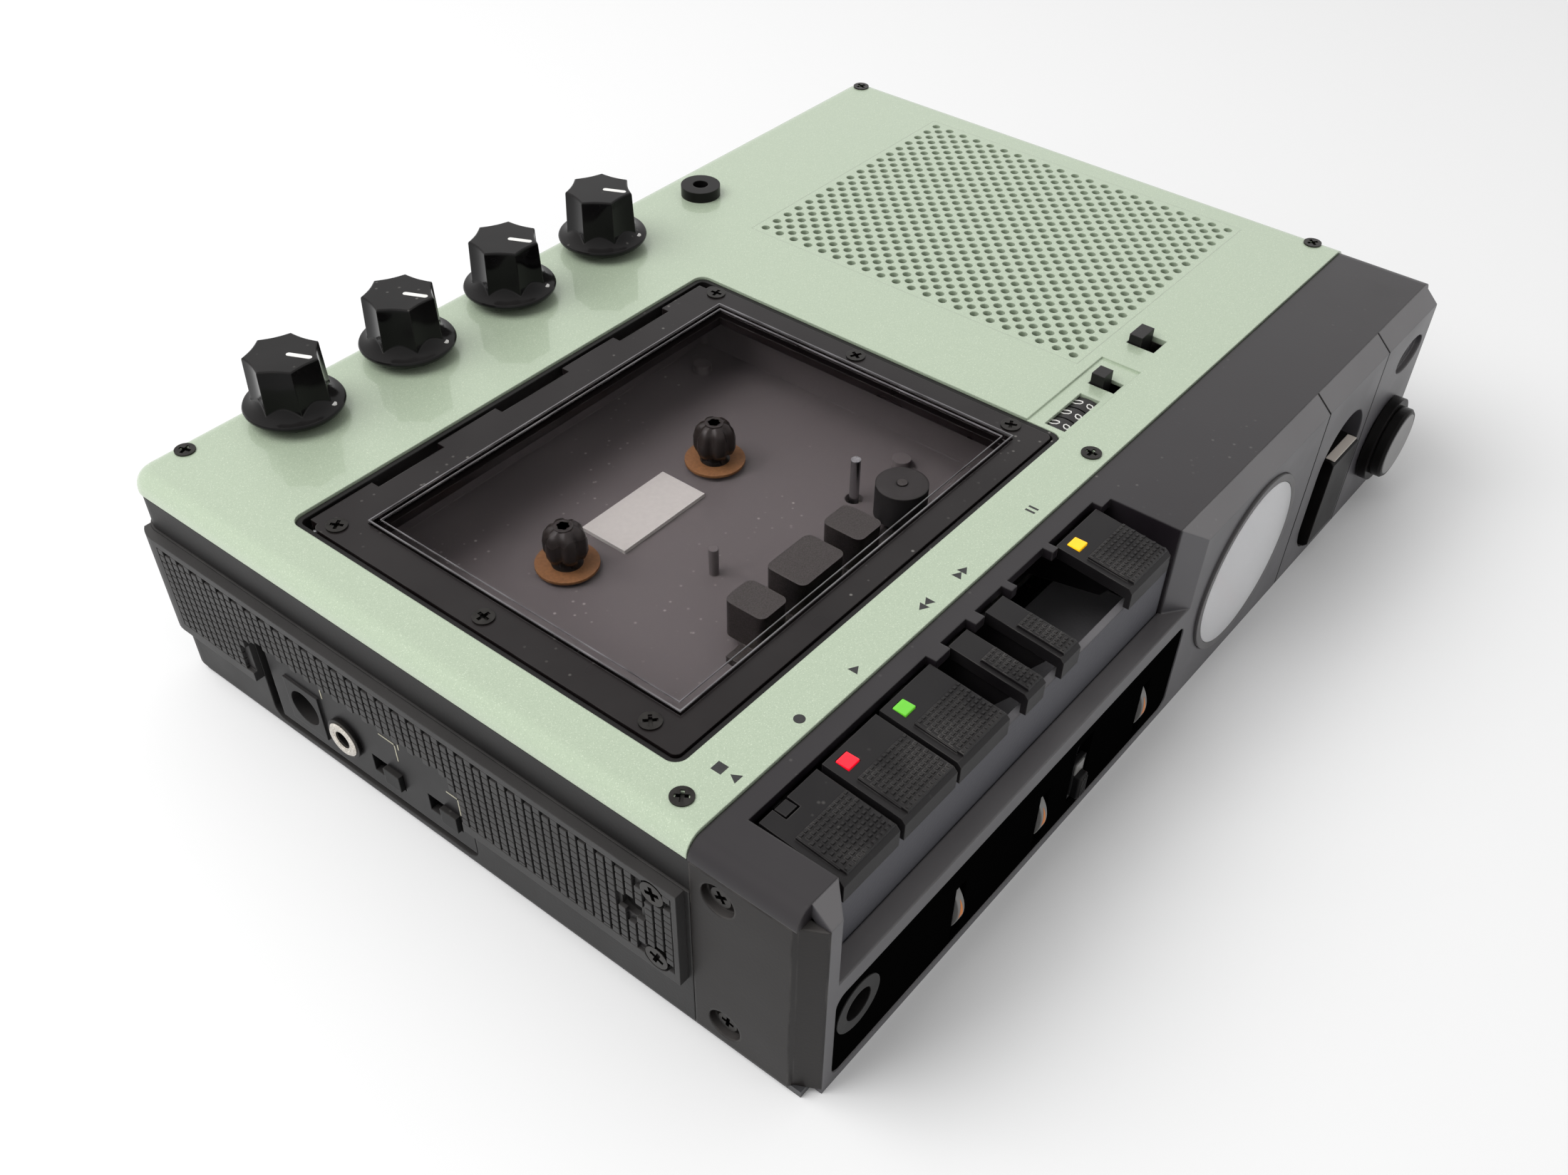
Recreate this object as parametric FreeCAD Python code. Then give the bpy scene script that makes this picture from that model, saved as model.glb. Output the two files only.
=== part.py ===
"""Tape echo unit: a portable three-head cassette recorder rebuilt as an echo.

Units are millimetres.  X runs along the long front edge (the socket side is at
-X), Y runs from the key row (front, -Y) to the knob row (back, +Y), Z is up.
The origin is the middle of the footprint, on the surface the unit stands on.
"""
import FreeCAD
import Part

import math
import os

V = FreeCAD.Vector

# ------------------------------------------------------------------ case
CASE_W = 225.2            # over the two plain side walls
CASE_D = 162.8            # front plate to back wall
CASE_H = 48.4             # floor to the top of the metal cover
BASE_T = 1.6              # steel base plate
BASE_INSET = 0.6
WALL = 2.0                # moulded case wall
BAND_H = 8.0              # recessed band between the seam and the cover's lip
LIP_GAP = 0.8             # open line between the band and the lip
SEAM_STEP = 0.4           # the upper case stands this much inside the lower
UPSTAND_INSET = 3.6       # rim that carries the cover, inside the side walls
BAND_T = 3.4              # wall of the recessed band under the cover
CORNER_R = 5.0            # upright back corners
EDGE_R = 3.5              # rolled top edges of cover and trim
SMALL_R = 0.6             # least inside corner
COVER_T = 1.2             # sheet of the top cover
COVER_LIP = 3.8           # turned-down edge of the top cover
COVER_RUN = 12.0          # length built past the cover's front edge, then cut off
FIT = 0.2                 # gap between neighbouring mouldings
RUN = 0.3                 # gap round pieces that move
SHAFT_FIT = 0.06          # radial running clearance on pins and shafts
SHAFT_ROOM = 0.8          # loose hole round a shaft that another piece carries
OVER = 1.0                # how far cutting tools and laps run past a face

HALF_W = CASE_W / 2
BACK = CASE_D / 2
FRONT = -CASE_D / 2
LIP_Z = CASE_H - COVER_LIP
COVER_UNDER = CASE_H - COVER_T
SEAM_Z = LIP_Z - BAND_H   # joint between the lower and the upper case

# ------------------------------------------------------------- front end
TRIM_DROP = 0.5           # front trim below the cover's top
TRIM_T = 2.0
TRIM_SETBACK = 3.7        # depth of the chamfer ahead of the trim
CHAMFER_DROP = 3.3        # and its height
PANEL_T = 2.2             # front plates
SPLIT_OUT_1 = 58.3        # joints between the three front plates, from the right wall
SPLIT_OUT_2 = 28.9
SPLIT_GAP = 0.3
CHEEK_T = 3.3             # side cheeks of the front end
CHEEK_STEP = 0.9          # step in the cheek ahead of its bevel
CHEEK_BEVEL = 4.1         # length of the bevelled nose along Y
CHEEK_SINK = 1.6          # countersinks of the cheek screws
CHEEK_SINK_R = 3.3

TRIM_Z = CASE_H - TRIM_DROP
TRIM_FRONT = FRONT + TRIM_SETBACK
CHAMFER_Z = TRIM_Z - CHAMFER_DROP
SPLIT_X1 = HALF_W - SPLIT_OUT_1
SPLIT_X2 = HALF_W - SPLIT_OUT_2

# ----------------------------------------------------------------- meter
METER_FOOT = 4.5          # lowest point of the meter above the floor
METER_HEAD = 1.7          # its highest point below the chamfer
METER_BEZEL = 0.8
METER_IN = 27.0           # meter's middle from the first plate joint
METER_DEPTH = 16.0
METER_RISE = 0.6          # case proud of the plate
METER_DIAL = 4.0          # dial behind the plate's face
METER_DOME = 2.0
METER_LENS_T = 1.0
METER_PIVOT = 9.0         # needle pivot below the middle
NEEDLE_PIN_R = 0.8
NEEDLE_PIN_L = 2.0
NEEDLE_UP = 2.0
NEEDLE_T = 0.5
NEEDLE_W = 0.8
NEEDLE_L = 20.0
NEEDLE_REST = 42.0        # degrees from upright at the low end

METER_R = (CHAMFER_Z - METER_HEAD - METER_FOOT) / 2 - METER_BEZEL
METER_X = SPLIT_X1 - METER_IN
METER_Z = METER_FOOT + METER_BEZEL + METER_R

# ---------------------------------------------------------- front window
WINDOW_IN = 5.7           # window's left end from the left wall
WINDOW_TO_METER = 5.9
WINDOW_Z0 = 1.9
WINDOW_HEAD = 4.0         # plate above the window, under the key shelf
WINDOW_R = 2.5
WINDOW_T = 1.8
WINDOW_SET = 0.2          # window face behind the plate's face
SHELF_Z = 28.0            # shelf under the keys
SHELF_T = 1.8

WINDOW_X0 = -HALF_W + WINDOW_IN
WINDOW_X1 = METER_X - METER_R - WINDOW_TO_METER
WINDOW_Z1 = SHELF_Z - WINDOW_HEAD

# --------------------------------------------------------------- key bay
BAY_IN = 9.4              # left end of the bay from the left wall
BAY_FLARE_L = 3.4         # the bay widens by these much at the front plate
BAY_FLARE_R = 5.0
BAY_WALL = 1.5
APRON_BACK = 4.4          # apron behind the shelf, from the front plate
APRON_T = 1.5
APRON_DROP = 6.8          # top of the apron below the key tops

BAY_X0 = -HALF_W + BAY_IN
BAY_X1 = WINDOW_X1 - BAY_FLARE_R
APRON_Y = FRONT + APRON_BACK

# --------------------------------------------------------------- key row
KEY_SETBACK = 3.2         # front faces of the keys behind the front plate
KEY_D = 15.9              # key top, front to back
KEY_DROP = 0.5            # rear edge of a key top below the trim
KEY_FALL = 1.7            # and its fall to the front
KEY_T = 2.4
KEY_LIP = 4.3             # depth of a key's front lip
KEY_LIP_T = 1.2
KEY_NOSE = 0.8
KEY_GAPS = {"stop": 0.9, "record": 1.3, "play": 1.0,         # free space left of each key
            "rewind": 5.4, "forward": 5.6, "pause": 17.2}
KEY_ROW_END = 3.8         # and right of the last
NARROW_KEYS = ("rewind", "forward")
NARROW_SHARE = 0.39       # width of a narrow key against a wide one
LED_KEYS = ("record", "play", "pause")
LED_W = 3.0               # window of a key lamp, along X
LED_D = 2.8               # and along Y
LED_INSET = 1.7           # from the key's left edge
LED_BACK = 1.1            # from the key's rear edge
LED_DEPTH = 0.8
NOTCH_INSET = 3.2         # notch in the stop key's rear edge
NOTCH_W = 3.4
NOTCH_D = 2.6
PAD_RISE = 0.5            # finger pad above the key top
PAD_INSET = 1.3
PAD_SHARE = 0.34          # plain part of the key top behind the pad
LEDGE_GAP = 1.3           # keys to the ledge behind them
LEDGE_W = 4.0             # ledge between the keys and the metal cover
TAB_LAP = 0.8             # tips of the ledge's tabs ahead of the keys' rear edges
TAB_GAP = 0.7
TAB_WIDE_GAP = 1.5
TAB_W = 1.7
PIVOT_BACK = 12.3         # key shaft behind the keys
PIVOT_DROP = 11.4         # and below their tops
PIVOT_R = 1.5
KEY_ARM_T = 4.0
HUB_R = 3.0
LUG_T = 1.5               # lugs of the key shaft
LUG_FRONT = 4.0
LUG_REAR = 3.0
LUG_IN = 0.8              # first lug from the bay's left end
LUG_OUT = 1.8             # last lug from the last key

KEY_FRONT = FRONT + KEY_SETBACK
KEY_BACK = KEY_FRONT + KEY_D
KEY_TOP = TRIM_Z - KEY_DROP
APRON_TOP = KEY_TOP - APRON_DROP
LEDGE_Y = KEY_BACK + LEDGE_GAP
COVER_FRONT = LEDGE_Y + LEDGE_W
TAB_Y = KEY_BACK - TAB_LAP
PIVOT_Y = KEY_BACK + PIVOT_BACK
PIVOT_Z = KEY_TOP - PIVOT_DROP
LUG_Y0 = PIVOT_Y - LUG_FRONT
LUG_Y1 = PIVOT_Y + LUG_REAR
KEY_ROOM = BAY_X1 - BAY_X0 - sum(KEY_GAPS.values()) - KEY_ROW_END
WIDE_KEY_W = KEY_ROOM / (len(KEY_GAPS) - len(NARROW_KEYS) + NARROW_SHARE * len(NARROW_KEYS))
NARROW_KEY_W = WIDE_KEY_W * NARROW_SHARE
KEY_SPAN = {}             # left and right side of each key
row_end = BAY_X0
for key_name, key_gap in KEY_GAPS.items():
    key_left = row_end + key_gap
    row_end = key_left + (NARROW_KEY_W if key_name in NARROW_KEYS else WIDE_KEY_W)
    KEY_SPAN[key_name] = (key_left, row_end)
LUG_X = (BAY_X0 + LUG_IN, (KEY_SPAN["play"][1] + KEY_SPAN["rewind"][0] - LUG_T) / 2,
         KEY_SPAN["pause"][1] + LUG_OUT)

# --------------------------------------------------------- cassette well
WELL_IN = 10.2            # well's left side from the left wall
WELL_W = 111.3            # opening in the cover
WELL_D = 92.2
WELL_BACK = 10.6          # from the cover's front edge
WELL_R = 2.5
TUB_T = 1.0
TUB_DROP = 0.5            # rim of the tub below the cover's top
TUB_FLOOR_T = 1.5
DECK_DEPTH = 15.9         # tub floor below the cover's top
CASSETTE_W = 100.4        # compact cassette
CASSETTE_D = 63.8
CASSETTE_HUB_BACK = 34.6  # its hubs from its front edge
PIN_INSET = 5.0
PIN_H = 6.0
PAD_R = 2.0
PAD_H = 1.9
REFLECTOR_W = 23.2
REFLECTOR_D = 11.2
REFLECTOR_T = 0.8

WELL_X0 = -HALF_W + WELL_IN
WELL_X1 = WELL_X0 + WELL_W
WELL_Y0 = COVER_FRONT + WELL_BACK
WELL_Y1 = WELL_Y0 + WELL_D
TUB_RIM_Z = CASE_H - TUB_DROP
DECK_Z = CASE_H - DECK_DEPTH

# ------------------------------------------------------------------ door
DOOR_GAP = 0.4
DOOR_T = 3.0
DOOR_DROP = 0.2           # door frame below the cover's top
DOOR_BACK = 4.4           # door's rear edge from the well's
DOOR_PIN_OUT = 0.4        # hinge pin behind that edge
DOOR_PIN_BACK = 1.5       # knuckle radius round the pin
DOOR_PIN_DROP = 2.0       # hinge pin below the door's top
DOOR_PIN_R = 0.7
DOOR_PIN_SHORT = 0.2      # pin short of the tub's outside
DOOR_TABS = ((2.8, 16.8), (32.7, 47.6), (65.9, 80.7), (95.7, 107.8))     # from the well's left side
WIN_LEFT = 8.6            # clear window inside the well's four sides
WIN_RIGHT = 7.2
WIN_FRONT = 7.0
WIN_BACK = 11.3
WIN_T = 2.0
WIN_PROUD = 0.8           # window above the door frame
WIN_BEVEL = 0.7
WIN_SEAT = 1.6            # width of the rebate that carries the window

DOOR_X0 = WELL_X0 + FIT + TUB_T + DOOR_GAP
DOOR_X1 = WELL_X1 - FIT - TUB_T - DOOR_GAP
DOOR_Y0 = WELL_Y0 + FIT + TUB_T + DOOR_GAP
DOOR_Y1 = WELL_Y1 - DOOR_BACK
DOOR_TOP = CASE_H - DOOR_DROP
DOOR_PIN_Y = DOOR_Y1 + DOOR_PIN_OUT
DOOR_PIN_Z = DOOR_TOP - DOOR_PIN_DROP
WIN_X0 = WELL_X0 + WIN_LEFT
WIN_X1 = WELL_X1 - WIN_RIGHT
WIN_Y0 = WELL_Y0 + WIN_FRONT
WIN_Y1 = WELL_Y1 - WIN_BACK
WIN_Z0 = DOOR_TOP + WIN_PROUD - WIN_T

# ------------------------------------------------------------- transport
HUB_IN = 56.25            # middle between the hubs from the well's left side
HUB_BACK = 59.6           # and from its front
HUB_PITCH = 42.5          # compact cassette
RING_R = 4.8
RING_T = 1.0
SPINDLE_R = 1.9
SPINDLE_H = 10.0          # above the tub floor
SPINDLE_TAIL = 7.5        # below the chassis
SPINDLE_WHEEL_R = 6.5
SPINDLE_WHEEL_T = 3.0
FIN_COUNT = 3
FIN_R = 2.9
FIN_T = 1.0
FIN_DROP = 1.2
FIN_TURN = 20.0
CHASSIS_T = 1.5
CHASSIS_TO_BATTERY = 3.8
CHASSIS_RIGHT = 10.9      # past the right end of the key bay
PILLAR_R = 3.0
CAPSTAN_RIGHT = 30.25     # capstan from the middle between the hubs
CAPSTAN_AHEAD = 28.7
CAPSTAN_R = 1.0
CAPSTAN_H = 9.5           # above the tub floor
CAPSTAN_TAIL = 9.0        # below the flywheel
FLYWHEEL_R = 19.0
FLYWHEEL_T = 5.0
FLYWHEEL_DROP = 8.5       # underside of the flywheel below the chassis
MOTOR_LEFT = 35.85        # motor from the middle between the hubs
MOTOR_AHEAD = 6.5         # and from the capstan
MOTOR_R = 13.0
MOTOR_ROOM = 5.9          # between the motor can and the chassis
MOTOR_BOSS_R = 4.3
MOTOR_BOSS = 2.0
GUIDE_LEFT = 4.85
GUIDE_AHEAD = 22.2
HEAD_W = 12.4
SIDE_HEAD_W = 7.4
HEAD_D = 9.0
HEAD_H = 8.0
HEAD_R = 1.5
HEAD_PITCH = 14.0
HEAD_AHEAD = 35.6         # head faces ahead of the hubs, carriage drawn back
ROLLER_R = 5.2
ROLLER_H = 7.0
ROLLER_PIN_R = 1.0
CARRIAGE_T = 1.5
CARRIAGE_TRAVEL = 4.8
CARRIAGE_HALF = 22.0
CARRIAGE_D = 20.6         # ahead of the head faces

HUB_MID_X = WELL_X0 + HUB_IN
HUB_Y = WELL_Y0 + HUB_BACK
CASSETTE_Y0 = HUB_Y - CASSETTE_HUB_BACK
CHASSIS_Z = DECK_Z - TUB_FLOOR_T - CHASSIS_T
CHASSIS_X1 = BAY_X1 + CHASSIS_RIGHT
CAPSTAN_X = HUB_MID_X + CAPSTAN_RIGHT
CAPSTAN_Y = HUB_Y - CAPSTAN_AHEAD
FLYWHEEL_Z = CHASSIS_Z - FLYWHEEL_DROP
MOTOR_X = HUB_MID_X - MOTOR_LEFT
MOTOR_Y = CAPSTAN_Y - MOTOR_AHEAD
MOTOR_H = CHASSIS_Z - BASE_T - MOTOR_ROOM
GUIDE_X = HUB_MID_X - GUIDE_LEFT
GUIDE_Y = HUB_Y - GUIDE_AHEAD
HEAD_REST_Y = HUB_Y - HEAD_AHEAD
CARRIAGE_Y0 = HEAD_REST_Y - CARRIAGE_D

# ------------------------------------------------- knobs and control jack
KNOB_IN = 22.0            # first knob from the well's left side
KNOB_PITCH = 28.35
KNOB_BACK = 10.2          # knobs from the back wall
KNOB_COUNT = 4
KNOB_SKIRT_R = 9.8
KNOB_SKIRT_IN = 0.6
KNOB_SKIRT_H = 2.6
KNOB_WAIST_R = 7.9
KNOB_TOP_R = 7.1
KNOB_GAP = 0.6            # skirt above the cover
KNOB_H = 12.4
KNOB_SIDES = 7
FLUTE_R = 5.0
FLUTE_DEPTH = 0.9
POT_SHAFT_R = 3.0
POT_R = 4.4
POT_H = 7.0
JACK_OUT = 27.6           # control jack from the well's right side
JACK_BACK = 11.3
JACK_NUT_R = 4.6
JACK_NUT_H = 2.4
JACK_BORE_R = 1.8
JACK_BARREL_R = 3.0
JACK_BARREL_L = 10.0

KNOB_X0 = WELL_X0 + KNOB_IN
KNOB_Y = BACK - KNOB_BACK
KNOB_BOTTOM = CASE_H + KNOB_GAP
KNOB_TOP = KNOB_BOTTOM + KNOB_H
JACK_X = WELL_X1 + JACK_OUT
JACK_Y = BACK - JACK_BACK

# --------------------------------------------------- loudspeaker, grille
GRILLE_OUT = 8.2          # grille from the right wall
GRILLE_W = 72.6
GRILLE_AHEAD = 21.5       # from the cover's front edge
GRILLE_BACK = 30.8        # from the back wall
SPEAKER_R = 33.0
SPEAKER_DEPTH = 21.0
SPEAKER_RIM = 3.0
SPEAKER_CONE = 11.0
SPEAKER_COIL_R = 7.0
SPEAKER_MAGNET_R = 14.0

GRILLE_X1 = HALF_W - GRILLE_OUT
GRILLE_X0 = GRILLE_X1 - GRILLE_W
GRILLE_Y0 = COVER_FRONT + GRILLE_AHEAD
GRILLE_Y1 = BACK - GRILLE_BACK

# ------------------------------------------------- counter and its buttons
COUNTER_OUT = 1.4         # from the well's right side
COUNTER_W = 13.4
COUNTER_BACK = 0.7        # from the well's front
COUNTER_D = 4.5
COUNTER_R = 5.4
COUNTER_RECESS = 0.4      # pressed field round the counter
COUNTER_SINK = 0.4        # digits below that field
RECESS_W = 28.5
RECESS_AHEAD = 0.6
RECESS_D = 9.0
DIGIT_COUNT = 3
DIGIT_GAP = 0.4
AXLE_R = 1.2
AXLE_OUT = 1.2
FRAME_T = 1.0
BUTTON_RISE = 2.0
BUTTON_DEPTH = 2.9        # of a button along Y
BUTTON_TRAVEL = 1.5
BUTTON_STEM = 2.0
BUTTON_SEAT = 12.4        # seat of the button switches below the cover's top
RESET_OUT = 18.8          # slots of the two buttons, from the well's right side
RESET_W = 4.1
RESET_D = 5.9
MEMORY_OUT = 36.4
MEMORY_W = 5.7
MEMORY_D = 6.4
MEMORY_BACK = 0.9

COUNTER_X0 = WELL_X1 + COUNTER_OUT
COUNTER_X1 = COUNTER_X0 + COUNTER_W
COUNTER_Y0 = WELL_Y0 + COUNTER_BACK
COUNTER_Y1 = COUNTER_Y0 + COUNTER_D
COUNTER_Y = (COUNTER_Y0 + COUNTER_Y1) / 2
COUNTER_Z = CASE_H - COUNTER_RECESS - COUNTER_SINK - COUNTER_R
RECESS_Y0 = WELL_Y0 - RECESS_AHEAD
BUTTON_TOP = CASE_H + BUTTON_RISE
BUTTON_FLOOR = CASE_H - BUTTON_SEAT
RESET_SLOT = (WELL_X1 + RESET_OUT, WELL_X1 + RESET_OUT + RESET_W, WELL_Y0, WELL_Y0 + RESET_D)
MEMORY_SLOT = (WELL_X1 + MEMORY_OUT, WELL_X1 + MEMORY_OUT + MEMORY_W,
               WELL_Y0 + MEMORY_BACK, WELL_Y0 + MEMORY_BACK + MEMORY_D)

# --------------------------------------------------- controls of the front
WHEEL_SHARES = (0.3212, 0.5623, 0.8926)      # thumbwheels along the window
WHEEL_W = 2.6
WHEEL_R = 8.2
WHEEL_Z = 10.2
WHEEL_PROUD = 0.6
WHEEL_SLOT = 14.4
WHEEL_NOTCHES = 24
NOTCH_T = 0.6
RIB_T = 1.2
RIB_DEPTH = 12.4          # ribs under the shelf, from the front plate's face
RIB_Z0 = 4.0
SLIDER_SHARE = 0.6779     # slider along the window
SLIDER_W = 5.2
SLIDER_H = 9.0
SLIDER_Z = 5.8            # lower end of the slider at rest
SLIDER_TRAVEL = 5.8
SLIDER_PROUD = 2.2
SLIDER_RIBS = 3
SLIDER_CUT = 0.7
PHONES_IN = 6.3           # headphone socket from the window's left end
PHONES_Z = 16.0
OVAL_IN = 13.1            # dish of the input lever from the second plate joint
OVAL_R = 10.4             # dish with round ends
OVAL_Z0 = 2.2
OVAL_HEAD = 8.6           # top of the dish below the chamfer
OVAL_DEPTH = 5.0
OVAL_WALL = 1.2
LEVER_W = 12.4
LEVER_Z0 = 4.8
LEVER_HEAD = 3.4          # lever at its highest to the top of the dish
LEVER_PROUD = 1.5
LEVER_TRAVEL = 5.0
LEVER_EASE = 0.8
STEM_W = 3.0
STEM_H = 5.0
LEVEL_OUT = 14.8          # level knob from the right wall
LEVEL_Z = 16.0
LEVEL_REAR_R = 9.8
LEVEL_FRONT_R = 8.2
LEVEL_REAR_H = 2.2
LEVEL_FRONT_H = 2.5
LEVEL_CHAMFER = 0.5
LEVEL_SLEEVE_R = 3.8
LEVEL_SHAFT_R = 2.0
LEVEL_POT_L = 12.0
LEVEL_POT_R = 8.0
DISH_OUT = 12.2           # microphone socket's dish from the right wall
DISH_HEAD = 8.4           # and below the chamfer
DISH_A = 6.6
DISH_B = 3.9
DISH_DEPTH = 1.4
SOCKET_R = 3.2            # bore for a large headphone plug
SOCKET_DEPTH = 14.0
SOCKET_WALL = 2.4
SOCKET_END = 1.5

WHEEL_X = [WINDOW_X0 + share * (WINDOW_X1 - WINDOW_X0) for share in WHEEL_SHARES]
WHEEL_Y = FRONT - WHEEL_PROUD + WHEEL_R
RIB_Y0 = FRONT + PANEL_T + FIT
RIB_Y1 = FRONT + RIB_DEPTH
SLIDER_X = WINDOW_X0 + SLIDER_SHARE * (WINDOW_X1 - WINDOW_X0)
PHONES_X = WINDOW_X0 + PHONES_IN
OVAL_X = SPLIT_X2 - OVAL_IN
OVAL_Z1 = CHAMFER_Z - OVAL_HEAD
LEVER_H = OVAL_Z1 - LEVER_Z0 - LEVER_TRAVEL - LEVER_HEAD
LEVEL_X = HALF_W - LEVEL_OUT
DISH_X = HALF_W - DISH_OUT
DISH_Z = CHAMFER_Z - DISH_HEAD

# ------------------------------------------------- grips and socket side
GRIP_T = 2.0
GRIP_Z0 = 13.2
GRIP_BACK = 0.8           # grip's front end from the cover's front edge
GRIP_END = 2.0            # grip stops this far ahead of the back wall
GRIP_FRAME = 1.4          # plain border above the grip's textured field
GRIP_SUNK = 0.8           # depth of that field
GRIP_FOOT = 2.2           # plain border below it
GRIP_PLAIN = 1.0          # and at its front end
SIDE_AHEAD = 28.8         # rear end of the socket cut-out from the back wall
SIDE_L = 58.0
SIDE_Z0 = 2.6
SIDE_Z1 = 25.0
SIDE_R = 2.8              # lower corners of the socket cut-out
SIDE_CHAMFER = 2.6        # and its upper corners in the grip
SIDE_GAP = 3.0            # open gap at the rear end of the socket plate
SIDE_SILL = 2.0           # open gap under the socket plate
SIDE_DEPTH = 7.0
SIDE_PLATE_T = 1.6
POCKET_T = 1.4
DC_AHEAD = 12.7           # power inlet, ring jack and switches from the cut-out's rear end
DC_Z = 13.0
DC_W = 10.0
DC_H = 11.0
DC_R = 3.9
DC_WALL = 1.4
DC_DEPTH = 8.0
DC_BEZEL_RISE = 0.5
RING_JACK_AHEAD = 24.0
RING_JACK_Z = 12.4
RING_JACK_R = 4.3
RING_JACK_BARREL_R = 3.0
RING_JACK_RISE = 0.8
SWITCH_AHEAD = (35.4, 50.6)
SWITCH_Z = 10.6
SWITCH_SLOT_H = 4.4
SWITCH_KNOB_L = 4.2
SWITCH_TRAVEL = 3.8
SWITCH_RISE = 1.0
PEG_BACK = 10.3           # hole of the strap peg from the grip's front end
PEG_Z = 25.9
PEG_RECESS_R = 4.3
PEG_R = 2.9               # hole with two flats
PEG_FLATS = 4.3

GRIP_Z1 = SEAM_Z - FIT
GRIP_Y0 = COVER_FRONT + GRIP_BACK
SIDE_Y1 = BACK - SIDE_AHEAD
SIDE_Y0 = SIDE_Y1 - SIDE_L
DC_Y = SIDE_Y1 - DC_AHEAD
RING_JACK_Y = SIDE_Y1 - RING_JACK_AHEAD
SWITCH_Y = [SIDE_Y1 - ahead for ahead in SWITCH_AHEAD]
SWITCH_SLOT_L = SWITCH_KNOB_L + SWITCH_TRAVEL + 2 * RUN
PEG_Y = GRIP_Y0 + PEG_BACK

# ------------------------------------------------------------- batteries
CELL_R = 13.1             # three round cells in a row
CELL_L = 50.0
CELL_COUNT = 3
CELL_GAP = 0.7
BATTERY_WALL = 1.2
CONTACT_ROOM = 5.0
HATCH_UP = 0.2            # hatch underside above the floor
HATCH_RIDGES = 5
HATCH_RIDGE_W = 24.0
HATCH_RIDGE_PITCH = 2.4
HATCH_RIDGE_IN = 8.0
HATCH_RIDGE_DEPTH = 0.4

BATTERY_X = CELL_COUNT * CELL_L / 2 + CONTACT_ROOM
BATTERY_Y0 = BACK - WALL - 2 * (BATTERY_WALL + CELL_R + CELL_GAP)
BATTERY_TOP = BASE_T + 2 * (CELL_R + CELL_GAP) + BATTERY_WALL
CHASSIS_BACK = BATTERY_Y0 - CHASSIS_TO_BATTERY

# --------------------------------------------------------- circuit board
BOARD_LEFT = 7.1          # board's sides from chassis, right wall, cover front and batteries
BOARD_RIGHT = 10.6
BOARD_FRONT = 13.0
BOARD_BACK = 7.4
BOARD_Z = 7.0
BOARD_T = 1.6
SPACER_R = 3.0
CHIP_COUNT = 4
CHIP = 6.0

BOARD_X0 = CHASSIS_X1 + BOARD_LEFT
BOARD_X1 = HALF_W - BOARD_RIGHT
BOARD_Y0 = COVER_FRONT + BOARD_FRONT
BOARD_Y1 = BATTERY_Y0 - BOARD_BACK

# ---------------------------------------------------------------- screws
SCREW_HEAD_R = 2.0
SIDE_SCREW_R = 2.4        # heads of the grip screws
SIDE_POCKET_R = 2.8       # and their pockets
SCREW_SHANK_R = 1.0
SCREW_RISE = 0.3
SCREW_L = 5.0
COVER_SCREW_RL = (11.0, 4.2)      # cover screws, from the nearest walls and edges
COVER_SCREW_RR = (4.1, 4.5)
COVER_SCREW_FL = (6.2, 6.1)
COVER_SCREW_FM = (1.9, 3.5)
COVER_SCREW_FR = (3.5, 6.2)
DOOR_SCREW_L = 4.6        # door screws inside the well's sides
DOOR_SCREW_R = 3.8
DOOR_SCREW_AHEAD = (7.5, 45.0, 82.5)         # and from its rear side
GRIP_SCREW_IN = 5.0       # from the grip's front end
GRIP_SCREW_EDGE = 3.2     # and from its upper or lower edge
CHEEK_SCREW_HIGH = (18.5, 5.2)    # from the front plate and the cover's lip or the floor
CHEEK_SCREW_LOW = (17.7, 6.6)

COVER_SCREWS = ((-HALF_W + COVER_SCREW_RL[0], BACK - COVER_SCREW_RL[1]),
                (HALF_W - COVER_SCREW_RR[0], BACK - COVER_SCREW_RR[1]),
                (-HALF_W + COVER_SCREW_FL[0], COVER_FRONT + COVER_SCREW_FL[1]),
                (WELL_X1 - COVER_SCREW_FM[0], COVER_FRONT + COVER_SCREW_FM[1]),
                (HALF_W - COVER_SCREW_FR[0], COVER_FRONT + COVER_SCREW_FR[1]))
DOOR_SCREWS = [(x, WELL_Y1 - ahead) for x in (WELL_X0 + DOOR_SCREW_L, WELL_X1 - DOOR_SCREW_R)
               for ahead in DOOR_SCREW_AHEAD]
GRIP_SCREWS = [(GRIP_Y0 + GRIP_SCREW_IN, z) for z in (GRIP_Z1 - GRIP_SCREW_EDGE, GRIP_Z0 + GRIP_SCREW_EDGE)]
CHEEK_SCREWS = [(FRONT + CHEEK_SCREW_HIGH[0], LIP_Z - CHEEK_SCREW_HIGH[1]),
                (FRONT + CHEEK_SCREW_LOW[0], CHEEK_SCREW_LOW[1])]

BACKWARD = V(0, 1, 0)
RIGHTWARD = V(1, 0, 0)


# ===================================================== building helpers
def box(x0, x1, y0, y1, z0, z1):
    """Block between two corners."""
    return Part.makeBox(x1 - x0, y1 - y0, z1 - z0, V(x0, y0, z0))


def rod(x, y, z, r, length, axis=V(0, 0, 1)):
    """Cylinder that starts at a point and runs along an axis."""
    return Part.makeCylinder(r, length, V(x, y, z), axis)


def face_of(points):
    """Flat face inside a closed outline."""
    return Part.Face(Part.makePolygon(points + [points[0]]))


def prism_x(profile, x0, x1):
    """Outline of (y, z) points run along X."""
    return face_of([V(x0, y, z) for y, z in profile]).extrude(V(x1 - x0, 0, 0))


def prism_z(profile, z0, z1):
    """Outline of (x, y) points run along Z."""
    return face_of([V(x, y, z0) for x, y in profile]).extrude(V(0, 0, z1 - z0))


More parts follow.
